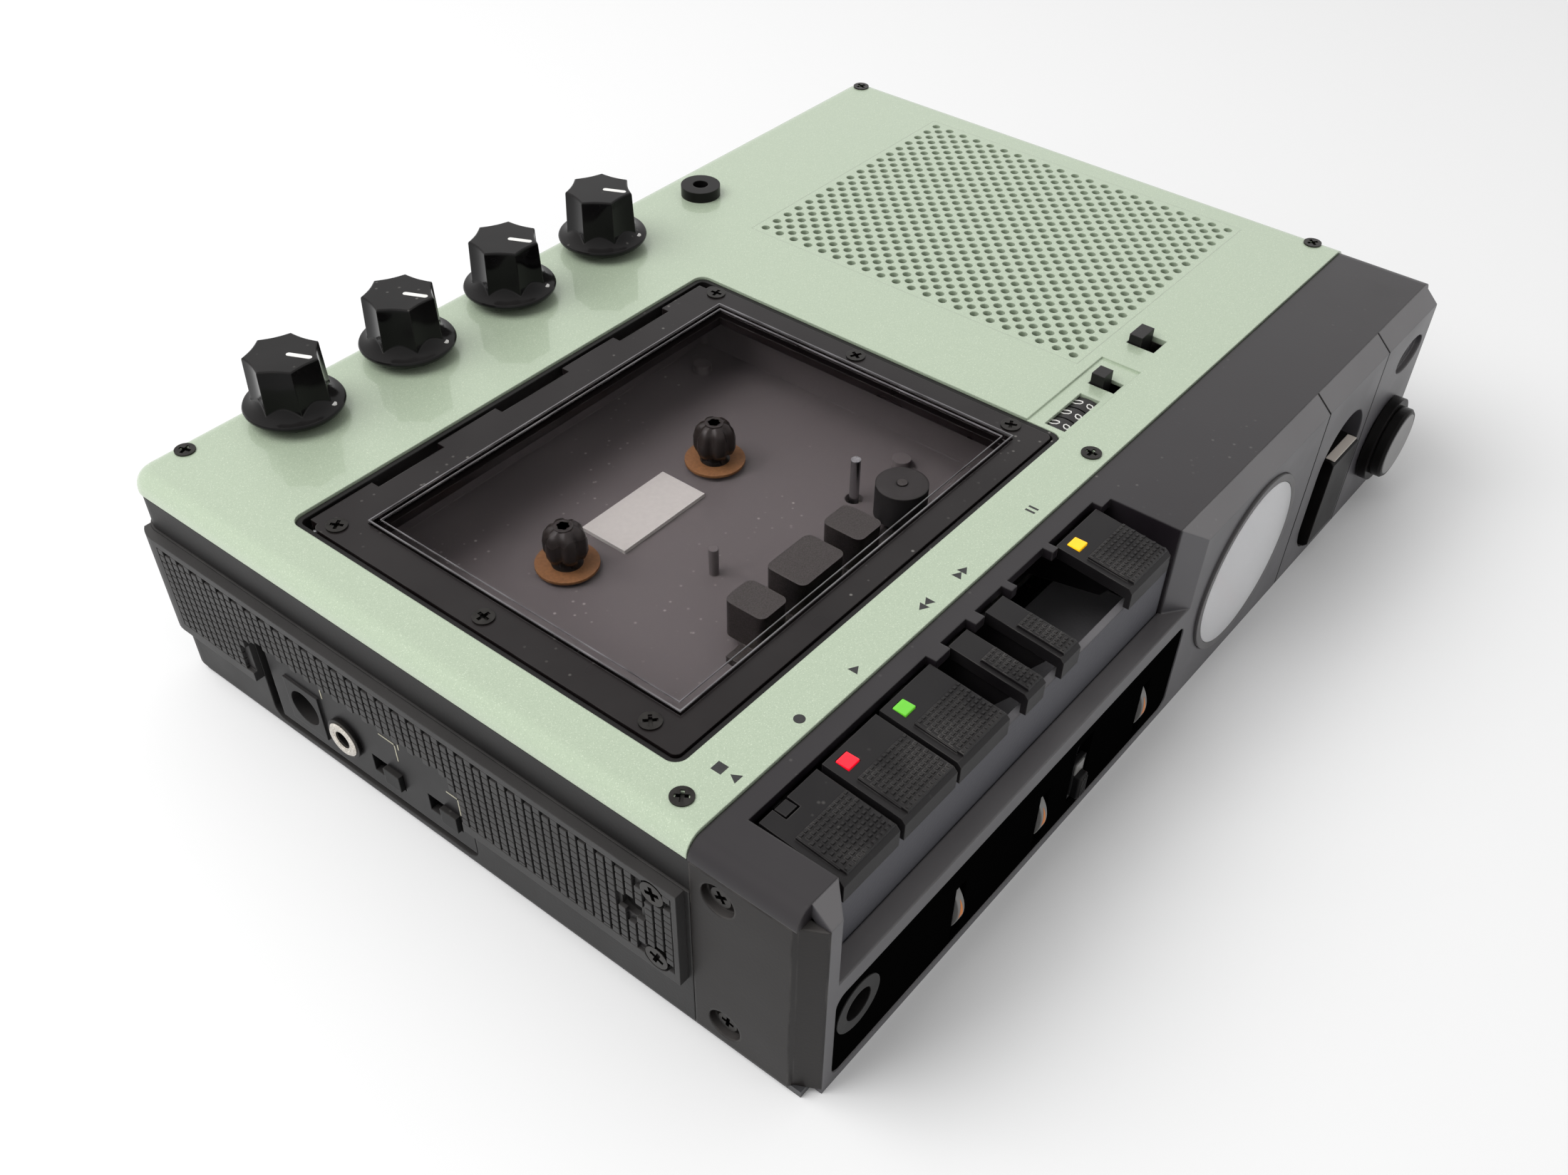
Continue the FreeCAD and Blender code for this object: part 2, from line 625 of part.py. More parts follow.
def mirrored(shape):
    """Copy for the other side of the unit."""
    return shape.mirror(V(0, 0, 0), V(1, 0, 0))


def fillet_where(shape, radius, test):
    """Round the straight edges that pass a test of direction and middle."""
    chosen = []
    for edge in shape.Edges:
        run = edge.Vertexes[-1].Point - edge.Vertexes[0].Point
        middle = edge.valueAt((edge.FirstParameter + edge.LastParameter) / 2)
        if test(run, middle):
            chosen.append(edge)
    return shape.makeFillet(radius, chosen)


def upright(run):
    """True for a run along Z."""
    return math.hypot(run.x, run.y) < 1e-6


def crosswise(run):
    """True for a run along X."""
    return math.hypot(run.y, run.z) < 1e-6


def rounded_block(x0, x1, y0, y1, z0, z1, r):
    """Block with rounded upright edges."""
    return fillet_where(box(x0, x1, y0, y1, z0, z1), r, lambda run, m: upright(run))


def rounded_plate(x0, x1, z0, z1, y0, y1, r):
    """Plate that stands in XZ, with rounded corners."""
    return fillet_where(box(x0, x1, y0, y1, z0, z1), r, lambda run, m: math.hypot(run.x, run.z) < 1e-6)


def stadium_plug(x, z0, z1, r, y, depth):
    """Plug with round ends, long way up, that runs along +Y."""
    middle = box(x - r, x + r, y, y + depth, z0 + r, z1 - r)
    ends = [rod(x, y, z0 + r, r, depth, BACKWARD), rod(x, y, z1 - r, r, depth, BACKWARD)]
    return middle.fuse(ends).removeSplitter()


def ellipse_plug(x, z, a, b, y, depth):
    """Elliptic plug that runs along +Y, wider than it is high."""
    curve = Part.Ellipse(V(x + a, y, z), V(x, y, z + b), V(x, y, z))
    return Part.Face(Part.Wire(curve.toShape())).extrude(V(0, depth, 0))


def group(shapes):
    """Separate solids that share one node."""
    return Part.makeCompound(shapes)


def save(name, shape):
    """Write one node."""
    shape.exportStep("parts/" + name + ".step")


# ============================================================ the shell
def case_ring(z0, z1, inset, wall):
    """Case walls open at top and bottom, with round back corners."""
    x = HALF_W - inset
    y = BACK - inset
    r_out = CORNER_R - inset
    r_in = max(r_out - wall, SMALL_R)
    outer = fillet_where(box(-x, x, COVER_FRONT - FIT, y, z0, z1), r_out,
                         lambda run, m: upright(run) and m.y > 0)
    inner = fillet_where(box(-x + wall, x - wall, COVER_FRONT - OVER, y - wall, z0 - OVER, z1 + OVER), r_in,
                         lambda run, m: upright(run) and m.y > 0)
    return outer.cut(inner)


def base_plate():
    """Flat base with the opening of the battery bay along its back edge."""
    x = HALF_W - BASE_INSET
    plate = fillet_where(box(-x, x, FRONT + PANEL_T, BACK - BASE_INSET, 0, BASE_T), CORNER_R - BASE_INSET,
                         lambda run, m: upright(run) and m.y > 0)
    return plate.cut(box(-BATTERY_X, BATTERY_X, BATTERY_Y0, BACK + OVER, -OVER, BASE_T + OVER))


def battery_hatch():
    """Hatch that slides out backwards, with finger ridges near its rear edge."""
    lid = box(-BATTERY_X + RUN, BATTERY_X - RUN, BATTERY_Y0 + RUN, BACK - BASE_INSET, HATCH_UP, BASE_T - FIT)
    for k in range(HATCH_RIDGES):
        y = BACK - HATCH_RIDGE_IN - k * HATCH_RIDGE_PITCH
        lid = lid.cut(box(-HATCH_RIDGE_W / 2, HATCH_RIDGE_W / 2, y, y + HATCH_RIDGE_PITCH / 2,
                          -1, HATCH_UP + HATCH_RIDGE_DEPTH))
    return lid


def battery_bay():
    """Open-bottomed box for the row of cells."""
    w = BATTERY_WALL
    outer = box(-BATTERY_X, BATTERY_X, BATTERY_Y0, BACK - WALL, BASE_T, BATTERY_TOP)
    return outer.cut(box(-BATTERY_X + w, BATTERY_X - w, BATTERY_Y0 + w, BACK - WALL - w,
                         BASE_T - OVER, BATTERY_TOP - w))


def lower_case():
    """Lower walls, with the pocket behind the socket plate on the left."""
    walls = case_ring(BASE_T, SEAM_Z, 0, WALL)
    walls = walls.cut(fillet_where(box(-HALF_W - OVER, -HALF_W + WALL, SIDE_Y0, SIDE_Y1, SIDE_Z0, SIDE_Z1),
                                   SIDE_R,
                                   lambda run, m: crosswise(run) and m.z < (SIDE_Z0 + SIDE_Z1) / 2))
    x0 = -HALF_W + WALL
    x1 = -HALF_W + SIDE_DEPTH
    t = POCKET_T
    pocket = box(x0, x1, SIDE_Y0 - t, SIDE_Y1 + t, BASE_T, SIDE_Z1 + t)
    pocket = pocket.cut(box(x0 - OVER, x1 - t, SIDE_Y0, SIDE_Y1, SIDE_Z0, SIDE_Z1))
    pocket = pocket.cut(rod(x0, DC_Y, DC_Z, DC_R + DC_WALL + FIT, SIDE_DEPTH, RIGHTWARD))
    pocket = pocket.cut(rod(x0, RING_JACK_Y, RING_JACK_Z, RING_JACK_BARREL_R + FIT, SIDE_DEPTH, RIGHTWARD))
    return walls.fuse(pocket).removeSplitter()


def upper_case():
    """Recessed band under the cover, with the rim that carries the cover."""
    band = case_ring(SEAM_Z, LIP_Z - LIP_GAP, SEAM_STEP, BAND_T)
    rim = case_ring(SEAM_Z, COVER_UNDER, UPSTAND_INSET, WALL)
    return band.fuse(rim).removeSplitter()


def lid_form(inset, r_corner, r_edge, z0):
    """Block with round back corners and rolled top edges, inset from the cover's outside."""
    front = COVER_FRONT - COVER_RUN
    x = HALF_W - inset
    top = CASE_H - inset
    block = fillet_where(box(-x, x, front, BACK - inset, z0, top), r_corner,
                         lambda run, m: upright(run) and m.y > 0)
    chosen = [e for e in block.Edges if abs(e.BoundBox.ZMin - top) < 1e-6 and e.BoundBox.YMax > front + 1e-3]
    return block.makeFillet(r_edge, chosen)


def top_cover():
    """Sheet-metal lid with the cassette opening and the holes for the controls."""
    t = COVER_T
    shell = lid_form(0, CORNER_R, EDGE_R, LIP_Z)
    shell = shell.cut(lid_form(t, CORNER_R - t, EDGE_R - t, LIP_Z - OVER))
    shell = shell.cut(box(-HALF_W - OVER, HALF_W + OVER, COVER_FRONT - COVER_RUN - OVER, COVER_FRONT, 0,
                          CASE_H + OVER))
    below, above = LIP_Z - OVER, CASE_H + OVER
    holes = [rounded_block(WELL_X0, WELL_X1, WELL_Y0, WELL_Y1, below, above, WELL_R)]
    for k in range(KNOB_COUNT):
        holes.append(rod(KNOB_X0 + k * KNOB_PITCH, KNOB_Y, below, POT_SHAFT_R + SHAFT_ROOM, above - below))
    holes.append(rod(JACK_X, JACK_Y, below, JACK_BARREL_R + FIT, above - below))
    holes.append(box(WELL_X1 - OVER, WELL_X1 + RECESS_W, RECESS_Y0, RECESS_Y0 + RECESS_D,
                     CASE_H - COUNTER_RECESS, above))
    holes.append(box(COUNTER_X0, COUNTER_X1, COUNTER_Y0, COUNTER_Y1, below, above))
    for x0, x1, y0, y1 in (RESET_SLOT, MEMORY_SLOT):
        holes.append(box(x0, x1, y0, y1, below, above))
    holes.append(box(GRILLE_X0, GRILLE_X1, GRILLE_Y0, GRILLE_Y1, below, above))
    return shell.cut(holes)


def speaker_grille():
    """Perforated field of the cover over the loudspeaker."""
    return box(GRILLE_X0, GRILLE_X1, GRILLE_Y0, GRILLE_Y1, COVER_UNDER, CASE_H)


def top_trim():
    """Front top moulding: rounded left cap, notched ledge behind the keys, right block."""
    y0, y1 = TRIM_FRONT, COVER_FRONT - FIT
    skirt_z = LIP_Z - FIT
    body = fillet_where(box(-HALF_W, HALF_W, y0, y1, skirt_z, TRIM_Z), EDGE_R - FIT / 2,
                        lambda run, m: abs(m.z - TRIM_Z) < 1e-6 and abs(abs(m.x) - HALF_W) < 1e-6)
    body = body.cut(box(-HALF_W + EDGE_R, HALF_W - EDGE_R, y0 - OVER, y1 + OVER, skirt_z - OVER,
                        TRIM_Z - TRIM_T))
    body = body.cut(box(BAY_X0, BAY_X1, y0 - OVER, LEDGE_Y, 0, CASE_H + OVER))
    more = [box(BAY_X0 - BAY_WALL, BAY_X0, y0, y1, SHELF_Z, TRIM_Z - TRIM_T / 2),
            box(BAY_X1, BAY_X1 + BAY_WALL, y0, y1, SHELF_Z, TRIM_Z - TRIM_T / 2)]
    near = {name: span[0] for name, span in KEY_SPAN.items()}
    far = {name: span[1] for name, span in KEY_SPAN.items()}
    tabs = ((far["play"] + TAB_GAP, near["rewind"] - TAB_GAP),
            (far["rewind"] + TAB_WIDE_GAP, near["forward"] - TAB_WIDE_GAP),
            (far["forward"] + TAB_WIDE_GAP, far["forward"] + TAB_WIDE_GAP + TAB_W),
            (near["pause"] - TAB_GAP - TAB_W, near["pause"] - TAB_GAP),
            (far["pause"] + TAB_GAP, BAY_X1))
    for x0, x1 in tabs:
        more.append(box(x0, x1, TAB_Y, LEDGE_Y + OVER, TRIM_Z - TRIM_T, TRIM_Z))
    return body.fuse(more).removeSplitter()


# =========================================================== front plates
def front_profile():
    """(y, z) section of the front plates: upright face and top chamfer."""
    slope = (TRIM_Z - CHAMFER_Z) / (TRIM_FRONT - FRONT)
    drop = PANEL_T * math.hypot(1, slope)
    inner_top = TRIM_Z - drop
    inner_y = FRONT + PANEL_T
    return [(FRONT, 0), (FRONT, CHAMFER_Z), (TRIM_FRONT, TRIM_Z), (TRIM_FRONT, inner_top),
            (inner_y, inner_top - (TRIM_FRONT - inner_y) * slope), (inner_y, 0)]


def bay_space(inset, y_in, z0, z1):
    """Space of the key bay as it widens towards the front plate."""
    x0, x1 = BAY_X0 + inset, BAY_X1 - inset
    wide0, wide1 = x0 - BAY_FLARE_L, x1 + BAY_FLARE_R
    return prism_z([(x0, y_in), (x0, TRIM_FRONT), (wide0, FRONT), (wide0, FRONT - OVER),
                    (wide1, FRONT - OVER), (wide1, FRONT), (x1, TRIM_FRONT), (x1, y_in)], z0, z1)


def bay_cheek(x_in, flare, t):
    """Slanting end wall of the bay between trim and front plate."""
    return prism_z([(x_in, TRIM_FRONT), (x_in + flare, FRONT), (x_in + flare + t, FRONT),
                    (x_in + t, TRIM_FRONT)],
                   SHELF_Z - SHELF_T, TRIM_Z)


def wheel_ribs(x, width, z_hole):
    """Pair of ribs under the shelf that carry a thumbwheel's axle or guide the slider."""
    ribs = []
    half = width / 2 + RUN
    for x0 in (x - half - RIB_T, x + half):
        rib = box(x0, x0 + RIB_T, RIB_Y0, RIB_Y1, RIB_Z0, SHELF_Z - SHELF_T)
        if z_hole:
            rib = rib.cut(rod(x0 - OVER, WHEEL_Y, z_hole, AXLE_R + SHAFT_FIT, RIB_T + 2 * OVER, RIGHTWARD))
        ribs.append(rib)
    return ribs


def front_panel():
    """Left front plate: window frame, shelf under the keys, wheel ribs, meter surround."""
    x0, x1 = -HALF_W + CHEEK_T, SPLIT_X1
    plate = prism_x(front_profile(), x0, x1)
    plate = plate.cut(bay_space(0, APRON_Y + OVER, SHELF_Z, CASE_H + OVER))
    above = prism_x([(FRONT - OVER, CHAMFER_Z), (FRONT, CHAMFER_Z), (TRIM_FRONT, TRIM_Z),
                     (TRIM_FRONT, TRIM_Z + OVER), (FRONT - OVER, TRIM_Z + OVER)], x0 - OVER, x1 + OVER)
    walls = bay_cheek(BAY_X0, -BAY_FLARE_L, -BAY_WALL).fuse(bay_cheek(BAY_X1, BAY_FLARE_R, BAY_WALL))
    walls = walls.cut(above)
    shelf = bay_space(0, APRON_Y - FIT, SHELF_Z - SHELF_T, SHELF_Z)
    shelf = shelf.cut(box(x0 - OVER, x1 + OVER, FRONT - 2 * OVER, FRONT + SHELF_T, 0, CASE_H))
    rib_shelf = box(BAY_X0, BAY_X1, APRON_Y - SHELF_T, RIB_Y1, SHELF_Z - SHELF_T - RIB_T, SHELF_Z - SHELF_T)
    ribs = [rib_shelf]
    for x in WHEEL_X:
        ribs += wheel_ribs(x, WHEEL_W, WHEEL_Z)
    ribs += wheel_ribs(SLIDER_X, SLIDER_W, None)
    plate = plate.fuse([walls, shelf] + ribs)
    plate = plate.cut(rounded_plate(WINDOW_X0, WINDOW_X1, WINDOW_Z0, WINDOW_Z1, FRONT - OVER,
                                    FRONT + PANEL_T, WINDOW_R))
    plate = plate.cut(rod(METER_X, FRONT - OVER, METER_Z, METER_R + METER_BEZEL, PANEL_T + 2 * OVER,
                          BACKWARD))
    return plate.removeSplitter()


def input_panel():
    """Middle front plate with the round-ended dish of the input lever."""
    plate = prism_x(front_profile(), SPLIT_X1 + SPLIT_GAP, SPLIT_X2)
    cup = stadium_plug(OVAL_X, OVAL_Z0 - OVAL_WALL, OVAL_Z1 + OVAL_WALL, OVAL_R + OVAL_WALL,
                       FRONT, OVAL_DEPTH + OVAL_WALL)
    cup = cup.cut(box(SPLIT_X1, SPLIT_X2, FRONT + PANEL_T, 0, -CASE_H, BASE_T))
    dish = stadium_plug(OVAL_X, OVAL_Z0, OVAL_Z1, OVAL_R, FRONT - OVER, OVAL_DEPTH + OVER)
    slot = box(OVAL_X - STEM_W / 2 - RUN, OVAL_X + STEM_W / 2 + RUN, FRONT,
               FRONT + OVAL_DEPTH + OVAL_WALL + OVER,
               LEVER_Z0 + LEVER_H / 2 - STEM_H / 2 - RUN,
               LEVER_Z0 + LEVER_H / 2 + STEM_H / 2 + LEVER_TRAVEL + RUN)
    return plate.fuse(cup).cut([dish, slot]).removeSplitter()


def level_panel():
    """Right front plate with the dished socket and the level knob's hole."""
    plate = prism_x(front_profile(), SPLIT_X2 + SPLIT_GAP, HALF_W - CHEEK_T)
    return plate.cut([ellipse_plug(DISH_X, DISH_Z, DISH_A, DISH_B, FRONT - OVER, DISH_DEPTH + OVER),
                      rod(DISH_X, FRONT, DISH_Z, SOCKET_R, PANEL_T + OVER, BACKWARD),
                      rod(LEVEL_X, FRONT - OVER, LEVEL_Z, LEVEL_SLEEVE_R + SHAFT_ROOM / 2,
                          PANEL_T + 2 * OVER, BACKWARD)])


def key_apron():
    """Textured wall behind the shelf, with the floor of the key bay."""
    x0, x1 = BAY_X0 + FIT, BAY_X1 - FIT
    bottom = SHELF_Z - SHELF_T
    section = [(APRON_Y, bottom), (APRON_Y, APRON_TOP), (APRON_Y + APRON_T, APRON_TOP),
               (APRON_Y + APRON_T, bottom + APRON_T), (COVER_FRONT, bottom + APRON_T), (COVER_FRONT, bottom)]
    return prism_x(section, x0, x1)


def cheeks():
    """Side cheeks with stepped, bevelled noses and countersinks for their screws."""
    x = -HALF_W
    nose = FRONT + CHEEK_BEVEL
    rear = COVER_FRONT - 2 * FIT
    plate = prism_z([(x, rear), (x, nose + CHEEK_STEP / 2), (x + CHEEK_STEP, nose),
                     (x + CHEEK_T - FIT, FRONT),
                     (x + CHEEK_T, FRONT), (x + CHEEK_T, rear)], BASE_T, LIP_Z - 2 * FIT)
    for y, z in CHEEK_SCREWS:
        plate = plate.cut([rod(x - OVER, y, z, CHEEK_SINK_R, OVER + CHEEK_SINK, RIGHTWARD),
                           rod(x - OVER, y, z, SCREW_SHANK_R + FIT, CHEEK_T + 2 * OVER, RIGHTWARD)])
    return group([plate, mirrored(plate)])


def front_window():
    """Tinted window with slots for the wheels and slider and a hole for the socket."""
    y0, y1 = FRONT + WINDOW_SET, FRONT + WINDOW_SET + WINDOW_T
    pane = rounded_plate(WINDOW_X0 + FIT, WINDOW_X1 - FIT, WINDOW_Z0 + FIT, WINDOW_Z1 - FIT, y0, y1,
                         WINDOW_R - FIT)
    for x in WHEEL_X:
        half = WHEEL_W / 2 + RUN
        pane = pane.cut(box(x - half, x + half, y0 - OVER, y1 + OVER, WHEEL_Z - WHEEL_SLOT / 2,
                            WHEEL_Z + WHEEL_SLOT / 2))
    half = SLIDER_W / 2 + RUN
    pane = pane.cut(box(SLIDER_X - half, SLIDER_X + half, y0 - OVER, y1 + OVER,
                        SLIDER_Z - RUN, SLIDER_Z + SLIDER_H + SLIDER_TRAVEL + RUN))
    return pane.cut(rod(PHONES_X, y0 - OVER, PHONES_Z, SOCKET_R + SOCKET_WALL + FIT / 2,
                        WINDOW_T + 2 * OVER, BACKWARD))


# ============================================================== grips
def grip(with_window):
    """Textured side grip that wraps the back corner; one has the socket cut-out."""
    r = CORNER_R + GRIP_T / 2
    y1 = BACK - GRIP_END
    strip = fillet_where(box(-HALF_W - GRIP_T, 0, GRIP_Y0, BACK, GRIP_Z0, GRIP_Z1), r,
                         lambda run, m: upright(run) and m.y > 0 and m.x < -1)
    case = fillet_where(box(-HALF_W, 1, GRIP_Y0 - OVER, BACK, GRIP_Z0 - OVER, GRIP_Z1 + OVER), CORNER_R,
                        lambda run, m: upright(run) and m.y > 0 and m.x < -1)
    outer_x = -HALF_W - GRIP_T
    strip = strip.cut(case).cut(box(outer_x - OVER, 0, y1, BACK + OVER, 0, CASE_H))
    strip = strip.cut(box(-HALF_W + CORNER_R, 0, 0, BACK + OVER, 0, CASE_H))
    field = box(outer_x - OVER, outer_x + GRIP_SUNK, GRIP_Y0 + GRIP_PLAIN, BACK - CORNER_R - GRIP_FOOT,
                GRIP_Z0 + GRIP_FOOT, GRIP_Z1 - GRIP_FRAME)
    pockets = [rod(outer_x - OVER, y, z, SIDE_POCKET_R, OVER + GRIP_T / 2, RIGHTWARD) for y, z in GRIP_SCREWS]
    if with_window:
        shoulder = SIDE_Z1 - SIDE_CHAMFER
        strip = strip.cut(prism_x([(SIDE_Y0, 0), (SIDE_Y0, shoulder), (SIDE_Y0 + SIDE_CHAMFER, SIDE_Z1),
                                   (SIDE_Y1 - SIDE_CHAMFER, SIDE_Z1), (SIDE_Y1, shoulder), (SIDE_Y1, 0)],
                                  outer_x - OVER, -HALF_W + OVER))
        pockets.append(rod(outer_x - OVER, PEG_Y, PEG_Z, PEG_RECESS_R, OVER + GRIP_SUNK, RIGHTWARD))
        flats = box(outer_x, -HALF_W + OVER, PEG_Y - PEG_FLATS / 2, PEG_Y + PEG_FLATS / 2, 0, CASE_H)
        pockets.append(rod(outer_x, PEG_Y, PEG_Z, PEG_R, GRIP_T + OVER, RIGHTWARD).common(flats))
    return strip.cut([field] + pockets)


def side_grips():
    """Left grip with the socket cut-out, right grip plain."""
    return group([grip(True), mirrored(grip(False))])


def side_panel():
    """Socket plate with the raised bezel and barrel of the power inlet and two switch slots."""
    x0 = -HALF_W
    x1 = x0 + SIDE_PLATE_T
    plate = box(x0, x1, SIDE_Y0 + FIT, SIDE_Y1 - SIDE_GAP, SIDE_Z0 + SIDE_SILL, SIDE_Z1 - FIT)
    bezel = box(x0 - DC_BEZEL_RISE, x0 + OVER, DC_Y - DC_W / 2, DC_Y + DC_W / 2, DC_Z - DC_H / 2,
                DC_Z + DC_H / 2)
    barrel = rod(x0 + OVER, DC_Y, DC_Z, DC_R + DC_WALL, DC_DEPTH - OVER, RIGHTWARD)
    foot = box(x1 - OVER, x0 + SIDE_DEPTH - POCKET_T, SIDE_Y0 + FIT, SIDE_Y0 + FIT + SIDE_PLATE_T,
               SIDE_Z0 + SIDE_SILL, SIDE_Z1 - FIT)
    plate = plate.fuse([bezel, barrel, foot])
    cuts = [rod(x0 - 2 * OVER, DC_Y, DC_Z, DC_R, DC_DEPTH, RIGHTWARD),
            rod(x0 - 2 * OVER, RING_JACK_Y, RING_JACK_Z, RING_JACK_BARREL_R + FIT / 2, SIDE_DEPTH, RIGHTWARD)]
    for y in SWITCH_Y:
        cuts.append(box(x0 - OVER, x1 + OVER, y - SWITCH_SLOT_L / 2, y + SWITCH_SLOT_L / 2,
                        SWITCH_Z - SWITCH_SLOT_H / 2, SWITCH_Z + SWITCH_SLOT_H / 2))
    return plate.cut(cuts)


def side_switch(y):
    """Slide switch: a nib that stands through the slot and a slider plate behind."""
    x1 = -HALF_W + SIDE_PLATE_T + RUN
    half_z = SWITCH_SLOT_H / 2 - RUN
    y0 = y - SWITCH_SLOT_L / 2 + RUN
    nib = box(-HALF_W - SWITCH_RISE, x1, y0, y0 + SWITCH_KNOB_L, SWITCH_Z - half_z, SWITCH_Z + half_z)
    back = box(x1, x1 + SIDE_PLATE_T, y0 - OVER, y0 + SWITCH_KNOB_L + OVER, SWITCH_Z - half_z - OVER,
               SWITCH_Z + half_z + OVER)
    return nib.fuse(back)


# ============================================================= screws
def screw(x, y, z, axis, head_h, length=SCREW_L, head_r=SCREW_HEAD_R):
    """Flat-topped screw with a short shank; the axis points out of its head."""
    head = rod(x, y, z, head_r, head_h, -axis)
    return head.fuse(rod(x, y, z, SCREW_SHANK_R, length, -axis))


def case_screws():
    """Screws of the cover, the grips and the cheeks."""
    up = V(0, 0, 1)
    screws = [screw(x, y, CASE_H + SCREW_RISE, up, SCREW_RISE) for x, y in COVER_SCREWS]
    left = [screw(-HALF_W - GRIP_T, y, z, -RIGHTWARD, GRIP_T / 2, head_r=SIDE_SCREW_R) for y,
            z in GRIP_SCREWS]
    left += [screw(-HALF_W + CHEEK_SINK / 2, y, z, -RIGHTWARD, CHEEK_SINK / 2) for y, z in CHEEK_SCREWS]
    return group(screws + left + [mirrored(one) for one in left])


def drill_for_screws(shape):
    """Clear the shanks of the cover, grip and cheek screws out of a piece."""
    r, length = SCREW_SHANK_R + SHAFT_FIT, SCREW_L + OVER
    cuts = [rod(x, y, CASE_H + OVER, r, length, V(0, 0, -1)) for x, y in COVER_SCREWS]
    for y, z in GRIP_SCREWS + CHEEK_SCREWS:
        cuts.append(rod(-HALF_W - GRIP_T, y, z, r, length, RIGHTWARD))
        cuts.append(rod(HALF_W + GRIP_T, y, z, r, length, -RIGHTWARD))
    return shape.cut(cuts)


# =============================================================== keys
def key(name):
    """Piano key: sloping cap with a finger pad and front lip, on an arm to the pivot."""
    x0, x1 = KEY_SPAN[name]
    front_z = KEY_TOP - KEY_FALL
    slope = KEY_FALL / (KEY_BACK - KEY_FRONT)
    cap = prism_x([(KEY_BACK, KEY_TOP), (KEY_FRONT + KEY_NOSE, front_z + KEY_NOSE * slope),
                   (KEY_FRONT, front_z - KEY_NOSE), (KEY_FRONT, front_z - KEY_LIP),
                   (KEY_FRONT + KEY_LIP_T, front_z - KEY_LIP),
                   (KEY_FRONT + KEY_LIP_T, front_z - KEY_T + KEY_LIP_T * slope),
                   (KEY_BACK, KEY_TOP - KEY_T)], x0, x1)
    pad_y1 = KEY_BACK - (KEY_BACK - KEY_FRONT) * PAD_SHARE
    pad_y0 = KEY_FRONT + KEY_NOSE + PAD_INSET / 2
    top = lambda y: KEY_TOP - (KEY_BACK - y) * slope
    pad = prism_x([(pad_y1, top(pad_y1) - OVER), (pad_y1 - PAD_RISE, top(pad_y1) + PAD_RISE),
                   (pad_y0 + PAD_RISE, top(pad_y0) + PAD_RISE), (pad_y0, top(pad_y0) - OVER)],
                  x0 + PAD_INSET, x1 - PAD_INSET)
    mid = (x0 + x1) / 2
    arm = prism_x([(KEY_FRONT + 2 * KEY_LIP_T, front_z - KEY_T / 2), (KEY_BACK, KEY_TOP - KEY_T / 2),
                   (PIVOT_Y + HUB_R / 2, PIVOT_Z + HUB_R / 2), (PIVOT_Y, PIVOT_Z - HUB_R),
                   ((KEY_BACK + KEY_FRONT) / 2, PIVOT_Z + OVER)], mid - KEY_ARM_T / 2, mid + KEY_ARM_T / 2)
    hub = rod(mid - KEY_ARM_T / 2, PIVOT_Y, PIVOT_Z, HUB_R, KEY_ARM_T, RIGHTWARD)
    body = cap.fuse([pad, arm, hub])
    if name in LED_KEYS:
        y1 = KEY_BACK - LED_BACK
        body = body.cut(box(x0 + LED_INSET, x0 + LED_INSET + LED_W, y1 - LED_D, y1, KEY_TOP - LED_DEPTH,
                            KEY_TOP + OVER))
    if name == "stop":
        body = body.cut(box(x0 + NOTCH_INSET, x0 + NOTCH_INSET + NOTCH_W, KEY_BACK - NOTCH_D, KEY_BACK + OVER,
                            KEY_TOP - KEY_T - OVER, KEY_TOP + OVER))
    return body.cut(rod(mid - KEY_ARM_T, PIVOT_Y, PIVOT_Z, PIVOT_R + SHAFT_FIT, 2 * KEY_ARM_T,
                        RIGHTWARD)).removeSplitter()


def hinge_rods():
    """Steel rods: the shaft of the keys and the pin of the cassette door."""
    shaft = rod(LUG_X[0], PIVOT_Y, PIVOT_Z, PIVOT_R, LUG_X[-1] + LUG_T - LUG_X[0], RIGHTWARD)
    pin_x0 = WELL_X0 + FIT + DOOR_PIN_SHORT
    pin_x1 = WELL_X1 - FIT - DOOR_PIN_SHORT
    return group([shaft, rod(pin_x0, DOOR_PIN_Y, DOOR_PIN_Z, DOOR_PIN_R, pin_x1 - pin_x0, RIGHTWARD)])


